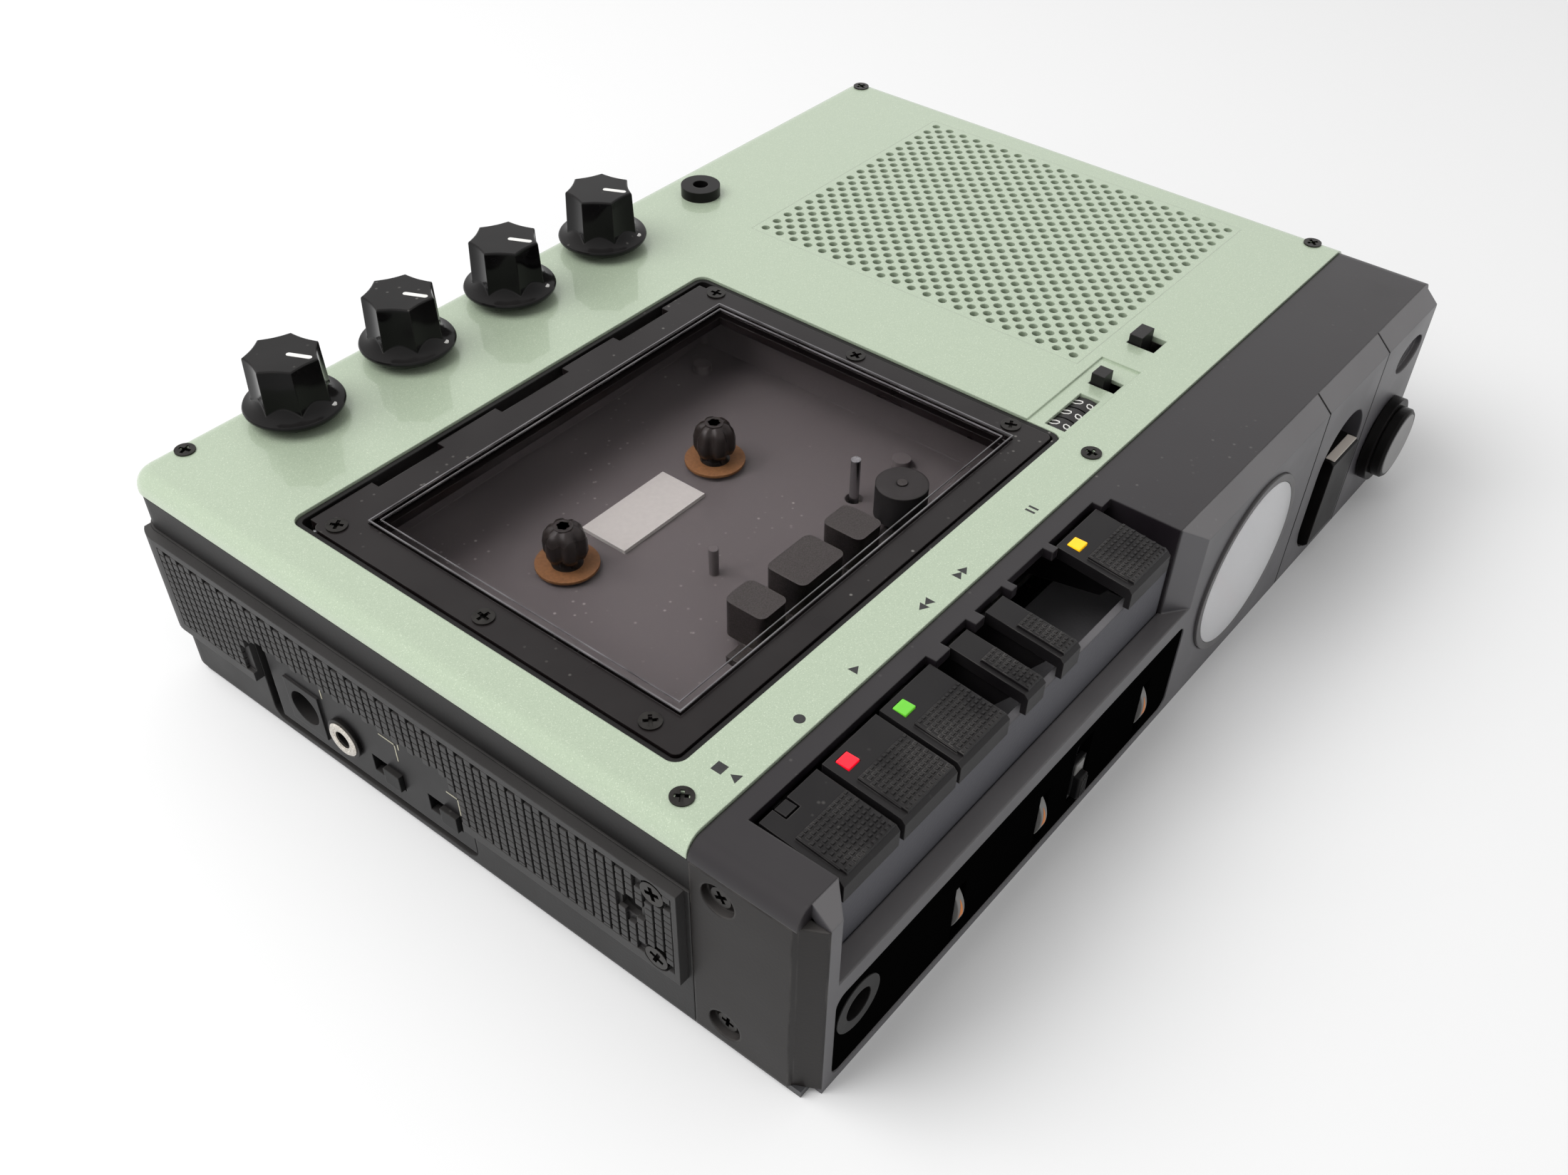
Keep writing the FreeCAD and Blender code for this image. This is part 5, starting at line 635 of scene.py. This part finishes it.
# ==================== trim and front plates
# Dark painted top trim and front plates, two small plates round the input lever and the level knobs.
dress(moulding("trim_black", srgb(27, 23, 27), 0.36, pebble=0.35, relief=0.06, radius=0.5, rubbed=0.3, sheen=0.05,
               specular=0.38), "top_trim")
# The front plates have a paler grey than the top trim: painted light standing in for the light and reflections their
# front faces catch.
dress(moulding("panel_black", srgb(60, 58, 62), 0.4, pebble=0.35, relief=0.04, radius=0.5, rubbed=0.3, sheen=0.28,
               specular=0.9), "front_panel", "input_panel", "level_panel")
dress(moulding("apron_black", srgb(82, 82, 87), 0.5, pebble=0.7, relief=0.5, radius=0.4, sheen=0.3), "key_apron")
dress(moulding("cheek_black", srgb(26, 23, 22), 0.4, relief=0.08, radius=0.6, rubbed=0.45, sheen=0.2), "cheeks")
level_black = moulding("level_black", srgb(9, 8, 8), 0.3, pebble=0.4, relief=0.04, radius=0.4, sheen=0.01,
                       specular=0.05)
dress(level_black, "level_knob", "level_ring", "input_lever")
# Painted shade in the gaps between the three front plates: dark strips, from the foot over the chamfer to the trim,
# stand in for the shade inside the joints.
CHAMFER_RUN, CHAMFER_DROP = 3.7, 3.3
GAP_W, GAP_DEPTH, GAP_PROUD = 0.4, 0.3, 0.03
FROM_SIDE = Matrix(((0, 0, 1, 0), (1, 0, 0, 0), (0, 1, 0, 0), (0, 0, 0, 1)))    # u to the rear, v up, w to the right
low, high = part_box("input_panel")
front, top = low.y / MM - GAP_PROUD, high.z / MM
for name, x in (("left", low.x / MM), ("right", high.x / MM)):
    course = [(front, low.z / MM + 0.4), (front, top - CHAMFER_DROP), (front + CHAMFER_RUN, top + 0.01)]
    course += [(y + GAP_DEPTH, z - GAP_DEPTH) for y, z in reversed(course)]
    work = bmesh.new()
    slab(work, course, x - GAP_W / 2, x + GAP_W / 2, FROM_SIDE)
    piece("plate_gap_shade_" + name, work, level_black, "case")


def facing_front(x, y, z):
    """Frame at a point on a front face: u to the right, v up, w out of the face."""
    return upright(x, y, z) @ Matrix.Rotation(math.pi / 2, 4, "X")


# Painted reflections on the dark level knob and input lever: a pale cap on the knob's face and on the lever's top
# stands in for the light they reflect.
painted_reflection_grey = moulding("painted_reflection_grey", srgb(128, 127, 127), 0.4, pebble=0.3, relief=0.03, radius=0.4, specular=0.5)
painted_highlight_cream = moulding("painted_highlight_cream", srgb(224, 214, 204), 0.45, pebble=0.3, relief=0.03, radius=0.3, specular=0.4)
CAP_T = 0.15
low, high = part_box("level_knob")
reach = (high.x - low.x) / 2 / MM
work = bmesh.new()
turn(work, [(0, -0.1), (0.86 * reach, -0.1), (0.88 * reach, 0.02), (0.84 * reach, CAP_T), (0, CAP_T + 0.1)],
     facing_front((low.x + high.x) / 2, low.y, (low.z + high.z) / 2), steps=64)
piece("level_knob_cap", work, painted_reflection_grey, "level_knob")
low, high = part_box("input_lever")
work = bmesh.new()
block(work, (low.x / MM + 0.6, low.y / MM + 0.3, high.z / MM - 0.05),
      (high.x / MM - 0.6, low.y / MM + 2.4, high.z / MM + CAP_T), 0.05)
piece("input_lever_cap", work, painted_highlight_cream, "input_lever")


# ==================== level meter
# Round meter under a frosted dome. Its dial is an off-white disc with one scale of ticks and a red needle.
dress(moulding("meter_ring", srgb(70, 68, 69), 0.35, radius=0.4, specular=0.5), "meter_body")
dress(clear("dome_frosted", 90.0, 4.0, srgb(244, 244, 246), srgb(252, 252, 253), srgb(210, 210, 210),
            {"IOR": 1.46, "Transmission Weight": 0.6}, frosted=(0.28, 0.36)), "meter_lens")
dress(two_tone("needle_red", srgb(190, 34, 30), srgb(214, 48, 40), 0.4, 500.0), "meter_needle")

METER_X, METER_Z = 27.3, 23.7
DIAL_FACE = -77.4         # y of the dial's floor
DIAL_R, DIAL_T = 17.4, 0.4
SCALE_R, SCALE_DROP = 17.4, 9.0         # radius of the scale, and its centre below the dial's
TICKS, TICK_STEP, TICK_W = 21, 4.2, 0.24
dial_white = two_tone("dial_white", srgb(226, 226, 226), srgb(238, 238, 237), 0.6, 200.0)
dial_at = facing_front(METER_X * MM, DIAL_FACE * MM, METER_Z * MM)
work = bmesh.new()
slab(work, disc(DIAL_R, steps=64), 0.02, DIAL_T, dial_at)
piece("meter_dial", work, dial_white, "case")
ink_black = two_tone("ink_black", srgb(34, 34, 35), srgb(58, 57, 57), 0.6, 1500.0)
work = bmesh.new()
for k in range(TICKS):
    angle = math.radians(TICK_STEP * ((TICKS - 1) / 2 - k))
    end = SCALE_R + (1.9 if k % 5 == 0 else 1.1)
    tick_at = dial_at @ Matrix.Translation((0, -SCALE_DROP * MM, 0)) @ Matrix.Rotation(angle, 4, "Z")
    slab(work, [(-TICK_W / 2, SCALE_R), (TICK_W / 2, SCALE_R), (TICK_W / 2, end), (-TICK_W / 2, end)],
         DIAL_T + 0.01, DIAL_T + 0.01 + INK, tick_at)
piece("meter_scale", work, ink_black, "case")


# ==================== keys
# Six piano keys in black ABS. Each has a pad of staggered scales for the fingertip, and three of them
# carry a coloured square that glows a little: painted light that keeps it bright in the shade of its recess.
key_black = moulding("key_black", srgb(15, 13, 15), 0.42, pebble=0.35, relief=0.06, radius=0.25, rubbed=0.5,
                     sheen=0.03, specular=0.22)
KEY_BACK, KEY_FRONT, KEY_FALL = -62.3, -78.2, 1.7
KEY_TOP = 47.4
PAD_BACK, PAD_FRONT = -68.0, -77.5
PAD_LEFT, PAD_LEFT_NARROW, PAD_RIGHT, PAD_T = 1.5, 0.9, 0.5, 0.55
SCALE_X, SCALE_Y, SCALE_H = 1.12, 1.05, 0.38


def key_top(y):
    """Height of a key's sloping top."""
    return KEY_TOP - (KEY_BACK - y) * KEY_FALL / (KEY_BACK - KEY_FRONT)


for name in ("stop", "record", "play", "rewind", "forward", "pause"):
    body = "key_" + name
    dress(key_black, body)
    low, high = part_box(body)
    wide = high.x - low.x > 8 * MM
    x0, x1 = low.x / MM + (PAD_LEFT if wide else PAD_LEFT_NARROW), high.x / MM - PAD_RIGHT
    columns = max(3, round((x1 - x0) / SCALE_X))
    rows = round((PAD_BACK - PAD_FRONT) / SCALE_Y)
    pitch_x, pitch_y = (x1 - x0) / columns, (PAD_BACK - PAD_FRONT) / rows
    back, front = key_top(PAD_BACK), key_top(PAD_FRONT)
    outline = [(PAD_BACK, back - 0.3), (PAD_BACK, back + 0.2), (PAD_BACK - 0.35, back + PAD_T),
               (PAD_FRONT + 0.1, front + PAD_T), (PAD_FRONT, front + PAD_T - 0.2), (PAD_FRONT, front - 0.6)]
    work = bmesh.new()
    slab(work, outline, x0, x1, FROM_SIDE)
    for row in range(rows):
        y1 = PAD_BACK - row * pitch_y
        stagger = pitch_x / 2 if row % 2 else 0.0
        for column in range(columns - row % 2):
            u0 = x0 + stagger + column * pitch_x + 0.1
            u1 = u0 + pitch_x - 0.2
            foot, crown = y1 - 0.12, y1 - pitch_y + 0.12
            z0, z1 = key_top(foot) + PAD_T, key_top(crown) + PAD_T
            base = [(u0, foot, z0 - 0.1), (u1, foot, z0 - 0.1), (u1, crown, z1 - 0.1), (u0, crown, z1 - 0.1)]
            peak = [(u0 + 0.16, foot - 0.22, z0 + 0.6 * SCALE_H), (u1 - 0.16, foot - 0.22, z0 + 0.6 * SCALE_H),
                    (u1 - 0.16, crown + 0.1, z1 + SCALE_H), (u0 + 0.16, crown + 0.1, z1 + SCALE_H)]
            loft(work, [[work.verts.new(Vector(v) * MM) for v in ring] for ring in (base, peak)])
    piece(body + "_pad", work, key_black, body)

# The stop key has no coloured square: a blank of the same plastic leaves a thin square line round it.
BLANK_X0, BLANK_X1, BLANK_DEEP, BLANK_FOOT = 3.55, 6.25, 2.25, 45.4
low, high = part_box("key_stop")
work = bmesh.new()
block(work, (low.x / MM + BLANK_X0, KEY_BACK - BLANK_DEEP, BLANK_FOOT),
      (low.x / MM + BLANK_X1, KEY_BACK, key_top(KEY_BACK - 1.2) - 0.03), 0.1)
piece("key_stop_blank", work, key_black, "key_stop")

SQUARE_X0, SQUARE_X1 = 1.78, 4.62             # from the key's left side
SQUARE_BACK, SQUARE_FRONT = 1.18, 3.82        # from the key's back edge
SQUARE_FOOT, SQUARE_TOP = 46.4, 47.33
# The glow is painted light: it keeps each coloured square bright in the shade of its recess.
GLOWING_SQUARES = {"record": (srgb(244, 8, 38), 0.65), "play": (srgb(96, 184, 46), 0.55), "pause": (srgb(252, 190, 6), 0.55)}
for name, (colour, painted_glow) in GLOWING_SQUARES.items():
    body = "key_" + name
    low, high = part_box(body)
    glowing_square, tree = finish(f"lamp_{name}")
    lit = mix(tree, cloud(tree, 700.0), tuple(0.85 * part for part in colour[:3]) + (1.0,), colour)
    face(tree, {"Base Color": lit, "Roughness": 0.25, "Emission Color": lit, "Emission Strength": painted_glow,
                "Coat Weight": 0.2})
    work = bmesh.new()
    block(work, (low.x / MM + SQUARE_X0, KEY_BACK - SQUARE_FRONT, SQUARE_FOOT),
          (low.x / MM + SQUARE_X1, KEY_BACK - SQUARE_BACK, SQUARE_TOP), 0.18)
    piece(body + "_lamp", work, glowing_square, body)


# ==================== front window and its wheels
# Dark window along the front with slots for three thumbwheels and a slider behind it.
window_dark, tree = finish("window_dark")
smoke = cloud(tree, 30.0, 6.0)
face(tree, {"Base Color": mix(tree, smoke, srgb(4, 4, 4), srgb(7, 7, 7)),
            "Roughness": spread(tree, smoke, 0.10, 0.2, 0.35, 0.65), "Specular IOR Level": 0.0})
dress(window_dark, "front_window")
wheel_grey = moulding("wheel_grey", srgb(122, 121, 119), 0.35, pebble=0.3, relief=0.05, specular=0.4)
dress(wheel_grey, "thumbwheel_1", "thumbwheel_2", "thumbwheel_3")
slider_black = moulding("slider_black", srgb(14, 14, 15), 0.4, pebble=0.3, relief=0.05, sheen=0.02, specular=0.1)
dress(slider_black, "tone_slider")

index_orange = two_tone("index_orange", srgb(196, 106, 24), srgb(222, 132, 40), 0.4, 800.0)
RIM_HALF, HUB_HALF, HUB_IN = 0.95, 1.4, 2.4     # half widths of a rim and its hub, and the hub's step inwards
WEDGE_TIP, WEDGE_TURN = 112.0, 30.0             # degrees from straight down to the point, and its length
WEDGE_STEPS = 8
for number in range(1, 4):
    body = f"thumbwheel_{number}"
    low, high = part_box(body)
    centre = (low + high) / 2
    across = Matrix.Translation(centre) @ Matrix.Rotation(math.pi / 2, 4, "Y")
    rim = (high.z - low.z) / 2 / MM - 0.1
    right_half = [(rim, RIM_HALF - 0.1), (rim - 0.1, RIM_HALF), (rim - HUB_IN + 0.2, RIM_HALF),
                  (rim - HUB_IN, HUB_HALF), (0, HUB_HALF)]
    work = bmesh.new()
    turn(work, [(radius, -level) for radius, level in right_half[::-1]] + right_half, across, steps=96)
    piece(body + "_rim", work, wheel_grey, body, replaced=(body,), crease=30.0)
    # A wedge painted on the rim, its point up.
    work = bmesh.new()
    rings = []
    for k in range(WEDGE_STEPS + 1):
        angle = math.radians(WEDGE_TIP - WEDGE_TURN * k / WEDGE_STEPS)
        wide = 0.05 + 0.62 * RIM_HALF * k / WEDGE_STEPS
        section = ((-wide, rim - 0.05), (wide, rim - 0.05), (wide, rim + 0.03), (-wide, rim + 0.03))
        rings.append([work.verts.new(centre + Vector((x, -reach * math.sin(angle), -reach * math.cos(angle))) * MM)
                      for x, reach in section])
    loft(work, rings)
    piece(body + "_index", work, index_orange, body)

# The slider: a flat shutter with a narrow ribbed thumb piece on its lower half.
SLIDER_PROUD, THUMB_W, THUMB_H, RIB = 2.2, 2.8, 5.6, 0.35
low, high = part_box("tone_slider")
x, y, z = (low.x + high.x) / 2 / MM, low.y / MM + SLIDER_PROUD, low.z / MM
work = bmesh.new()
block(work, (low.x / MM, y + 0.5, z), (high.x / MM, y + 1.7, high.z / MM), 0.15)
block(work, (x - THUMB_W / 2, y - 1.1, z + 0.3), (x + THUMB_W / 2, y + 0.8, z + 0.3 + THUMB_H), 0.3)
for share in (-0.62, -0.2, 0.2, 0.62):
    middle = x + share * THUMB_W / 2
    block(work, (middle - RIB / 2, y - 1.35, z + 0.7), (middle + RIB / 2, y - 0.9, z + THUMB_H - 0.1), 0.08)
piece("tone_slider_shell", work, slider_black, "tone_slider", replaced=("tone_slider",))
work = bmesh.new()
block(work, (x - THUMB_W / 2, y + 0.2, z + THUMB_H + 0.5), (x + THUMB_W / 2, y + 0.7, high.z / MM - 0.2), 0.05)
piece("tone_slider_mark", work, wheel_grey, "tone_slider")


# ==================== side grips and side plate
# Rubbery grips pressed over both sides and round the rear corners, covered with square studs.
grip_black = moulding("grip_black", srgb(38, 37, 37), 0.5, pebble=0.4, relief=0.12, radius=0.25, rubbed=0.35,
                      specular=0.4)
dress(grip_black, "side_grips")
STUD_PITCH, STUD_ROW, STUD_GAP, STUD_ROW_GAP, STUD_SUNK = 2.0, 1.63, 0.55, 0.34, 0.8
GRIP_OUT = 114.6
FIELD_Y0, FIELD_Y1, FIELD_Z0, FIELD_Z1 = -55.2, 74.2, 15.4, 35.0
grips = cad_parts["side_grips"]
rows, columns = round((FIELD_Z1 - FIELD_Z0) / STUD_ROW), round((FIELD_Y1 - FIELD_Y0) / STUD_PITCH)
pitch_z, pitch_y = (FIELD_Z1 - FIELD_Z0) / rows, (FIELD_Y1 - FIELD_Y0) / columns
for name, side in (("left_studs", -1), ("right_studs", 1)):
    work = bmesh.new()
    for row in range(rows):
        for column in range(columns):
            u0, u1 = FIELD_Y0 + column * pitch_y + STUD_GAP / 2, FIELD_Y0 + (column + 1) * pitch_y - STUD_GAP / 2
            v0 = max(FIELD_Z0, FIELD_Z0 + (row - (column % 2) / 2) * pitch_z) + STUD_ROW_GAP / 2
            v1 = FIELD_Z0 + (row + 1 - (column % 2) / 2) * pitch_z - STUD_ROW_GAP / 2
            # A stud is set only where the grip carries it: three of its corners have to bear.
            seated = 0
            for u, v in ((u0, v0), (u1, v0), (u0, v1), (u1, v1)):
                hit = grips.ray_cast(Vector((side * 120, u, v)) * MM, Vector((-side, 0, 0)))
                seated += bool(hit[0] and abs(abs(hit[1].x) / MM - (GRIP_OUT - STUD_SUNK)) < 0.05)
            if seated >= 3:
                a, b = sorted((side * (GRIP_OUT - STUD_SUNK - 0.05), side * (GRIP_OUT - 0.02)))
                block(work, (a, u0, v0), (b, u1, v1))
    piece(name, work, grip_black, "case")
dress(moulding("side_plate_black", srgb(18, 17, 18), 0.4, pebble=0.4, relief=0.06), "side_panel")
dress(moulding("switch_black", srgb(12, 12, 12), 0.45, pebble=0.3, relief=0.05), "side_switch_1", "side_switch_2")
ring_bright = metal("ring_bright", srgb(232, 226, 216), 0.2, streak=0.04, grain=2500.0)
contact_copper = metal("contact_copper", srgb(206, 138, 92), 0.3, grain=2000.0)
line_cream = two_tone("line_cream", srgb(150, 146, 128), srgb(198, 194, 174), 0.6, 1400.0, 4.0)
RING_Y, RING_Z = 28.6, 12.4
SUPPLY_Y, SUPPLY_Z = 39.9, 13.0


def facing_left(x, y, z):
    """Frame at a point on the left side: u towards the front, v up, w out of the face."""
    return upright(x, y, z) @ Matrix.Rotation(-math.pi / 2, 4, "Z") @ Matrix.Rotation(math.pi / 2, 4, "X")


def left_face(name, y, z):
    """x in metres of a node's outermost face on the left side, at y and z in mm."""
    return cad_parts[name].ray_cast(Vector((-130, y, z)) * MM, Vector((1, 0, 0)))[1].x


work = bmesh.new()
turn(work, [(1.9, -0.6), (3.7, -0.6), (3.7, 0.25), (3.3, 0.55), (2.6, 0.55), (2.4, 0.3), (1.9, 0.3)],
     facing_left(left_face("jack_sockets", RING_Y + 3.6, RING_Z), RING_Y * MM, RING_Z * MM), steps=48)
piece("ring_jack_nut", work, ring_bright, "case")
work = bmesh.new()
block(work, (-0.3, -0.3, -1.6), (0.3, 0.5, -0.3), 0.1,
      facing_left(left_face("jack_sockets", SUPPLY_Y + 4.2, SUPPLY_Z), (SUPPLY_Y - 1.2) * MM, (SUPPLY_Z - 0.7) * MM))
piece("supply_contact", work, contact_copper, "case")
# Plain hairlines printed on the plate lead the eye from one socket or switch to its place.
HAIR = 0.28
work = bmesh.new()
at = facing_left(left_face("side_panel", 20.0, 22.0), 0.0, 0.0)
for y0, z0, y1, z1 in ((33.6, 19.4, 33.6, 23.2), (33.6, 23.2, 31.6, 23.2), (17.4, 20.8, 13.2, 20.8),
                       (13.2, 20.8, 13.2, 16.6), (12.2, 23.2, 12.2, 20.2), (12.2, 23.2, -1.8, 23.2),
                       (0.2, 17.6, -2.6, 17.6), (-2.6, 17.6, -2.6, 13.4)):
    block(work, (-max(y0, y1) - HAIR / 2, min(z0, z1) - HAIR / 2, -0.05),
          (-min(y0, y1) + HAIR / 2, max(z0, z1) + HAIR / 2, INK), 0.01, at)
piece("side_plate_lines", work, line_cream, "case")


# ==================== screws
# Blackened cross-head screws: five in the lid, six in the door, four in each side.
dark_screw = metal("dark_screw", srgb(66, 64, 62), 0.36)
HEAD_DEEP, CROSS_REACH, CROSS_ARM = 0.7, 0.62, 0.17     # mm, and the cross as shares of the head's radius


def screw_places(node_name):
    """Middle of the head, outward axis and head radius of each screw in a node."""
    work = bmesh.new()
    work.from_mesh(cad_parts[node_name].data)
    bmesh.ops.remove_doubles(work, verts=work.verts, dist=0.001 * MM)
    found, left = [], dict.fromkeys(work.verts)
    while left:
        island, reached = [], [left.popitem()[0]]
        while reached:
            vert = reached.pop()
            island.append(vert)
            for other in [e.other_vert(vert) for e in vert.link_edges]:
                if other in left:
                    del left[other]
                    reached.append(other)
        low = Vector([min(v.co[k] for v in island) for k in range(3)])
        high = Vector([max(v.co[k] for v in island) for k in range(3)])
        size, middle = high - low, (low + high) / 2
        if size.z > 1.2 * size.x or abs(size.x - size.y) < 0.05 * MM:
            axis, head = Vector((0, 0, 1)), Vector((middle.x, middle.y, high.z))
        else:
            side = math.copysign(1, middle.x)
            axis, head = Vector((side, 0, 0)), Vector((high.x if side > 0 else low.x, middle.y, middle.z))
        found.append((head, axis, size.y / 2))
    work.free()
    return found


def cross_head(work, at, r):
    """Adds a pan head of a radius in mm with a sunk cross and its shank, outward along the frame's w axis."""
    arm, end = CROSS_ARM * r, CROSS_REACH * r
    cross = [(arm, arm), (end, arm), (end, -arm), (arm, -arm), (arm, -end), (-arm, -end),
             (-arm, -arm), (-end, -arm), (-end, arm), (-arm, arm), (-arm, end), (arm, end)]
    curve = bpy.data.curves.new("head", "CURVE")
    curve.dimensions, curve.fill_mode = "2D", "BOTH"
    for points in (disc(r, steps=32), cross):
        spline = curve.splines.new("POLY")
        spline.points.add(len(points) - 1)
        for point, (u, v) in zip(spline.points, points):
            point.co = (u * MM, v * MM, 0, 1)
        spline.use_cyclic_u = True
    curve.extrude = HEAD_DEEP / 2 * MM
    add_curve(work, curve, at @ Matrix.Translation((0, 0, -HEAD_DEEP / 2 * MM)))
    for radius, low, high, steps in ((0.98 * r, -HEAD_DEEP - 0.5, -HEAD_DEEP - 0.02, 32),
                                     (1.0, -4.5, -HEAD_DEEP - 0.4, 16)):
        turn(work, [(0, low), (radius, low), (radius, high), (0, high)], at, steps)


for node_name, body in (("case_screws", "case"), ("door_screws", "cassette_door")):
    work = bmesh.new()
    for k, (head, axis, radius) in enumerate(screw_places(node_name)):
        tilt = Vector((0, 0, 1)).rotation_difference(axis).to_matrix().to_4x4()
        spin = Matrix.Rotation(math.radians(25.0 + 37.0 * k), 4, "Z")
        cross_head(work, Matrix.Translation(head) @ tilt @ spin, radius / MM)
    piece(node_name + "_heads", work, dark_screw, body, [node_name])


# ==================== printed signs
# Plain transport signs printed in dark grey along the front strip of the lid.
LID_TOP = 48.4
h = 1.0                   # half the height of a sign
square = [(-h, -h), (h, -h), (h, h), (-h, h)]
forward = [(-h * 0.8, -h), (h * 0.9, 0), (-h * 0.8, h)]
back = [(-u, v) for u, v in forward][::-1]
eject = [(-h, -h * 0.8), (h, -h * 0.8), (0, h * 0.9)]
bar = [(-h * 0.25, -h), (h * 0.25, -h), (h * 0.25, h), (-h * 0.25, h)]
work = bmesh.new()
for shape, x, y in ((square, -98.4, -51.4), (eject, -98.4, -54.4), (disc(h), -82.7, -54.3), (forward, -68.2, -54.3),
                    (back, -49.1, -54.0), (back, -47.4, -54.0), (forward, -38.2, -54.0), (forward, -36.5, -54.0),
                    (bar, -15.3, -54.0), (bar, -14.1, -54.0)):
    slab(work, [(x + u, y + v) for u, v in shape], LID_TOP - 0.02, LID_TOP + 0.02)
piece("transport_signs", work, ink_black, "case")


# ==================== floor, lamp and camera
# Plain pale floor, an even white room and soft studio light from the rear left.
work = bmesh.new()
bmesh.ops.create_grid(work, x_segments=1, y_segments=1, size=3.0)
floor = bpy.data.meshes.new("floor")
work.to_mesh(floor)
work.free()
paper, tree = finish("paper")
face(tree, {"Base Color": (0.9, 0.9, 0.9, 1.0), "Roughness": 0.9})
floor.materials.append(paper)
ground = placed("floor", floor)

world = bpy.data.worlds.new("studio")
world.use_nodes = True
bpy.context.scene.world = world
tree = world.node_tree
tree.nodes.clear()
path = add(tree, "LightPath")
seen = add(tree, "Math", {0: path["Is Camera Ray"], 1: path["Is Glossy Ray"]}, operation="MAXIMUM")[0]
seen = add(tree, "Math", {0: seen, 1: path["Is Transmission Ray"]}, operation="MAXIMUM")[0]
paper_white = add(tree, "Background", {"Color": (1, 1, 1, 1), "Strength": spread(tree, seen, 0.6, 1.0)})[0]
add(tree, "OutputWorld", {"Surface": paper_white})

# One large soft lamp that points at the middle of the case.
light = bpy.data.lights.new("window_light", "AREA")
light.shape, light.size, light.energy = "SQUARE", 0.9, 11.0
holder = placed("window_light", light)
holder.location = (-0.55, 0.45, 0.95)
holder.rotation_euler = (Vector((0, 0, 0.03)) - holder.location).to_track_quat("-Z", "Y").to_euler()
holder.visible_glossy = False

camera = bpy.data.cameras.new("camera")
camera.sensor_width, camera.lens, camera.shift_y, camera.clip_start = 36.0, 34.01, 0.0891, 0.01
viewer = placed("camera", camera)
viewer.location = (-0.210357, -0.151008, 0.214924)
viewer.rotation_euler = [math.radians(a) for a in (43.53552731803929, -0.8512928, -51.10913513669)]
bpy.context.scene.camera = viewer
bpy.context.scene.view_settings.view_transform = "Standard"
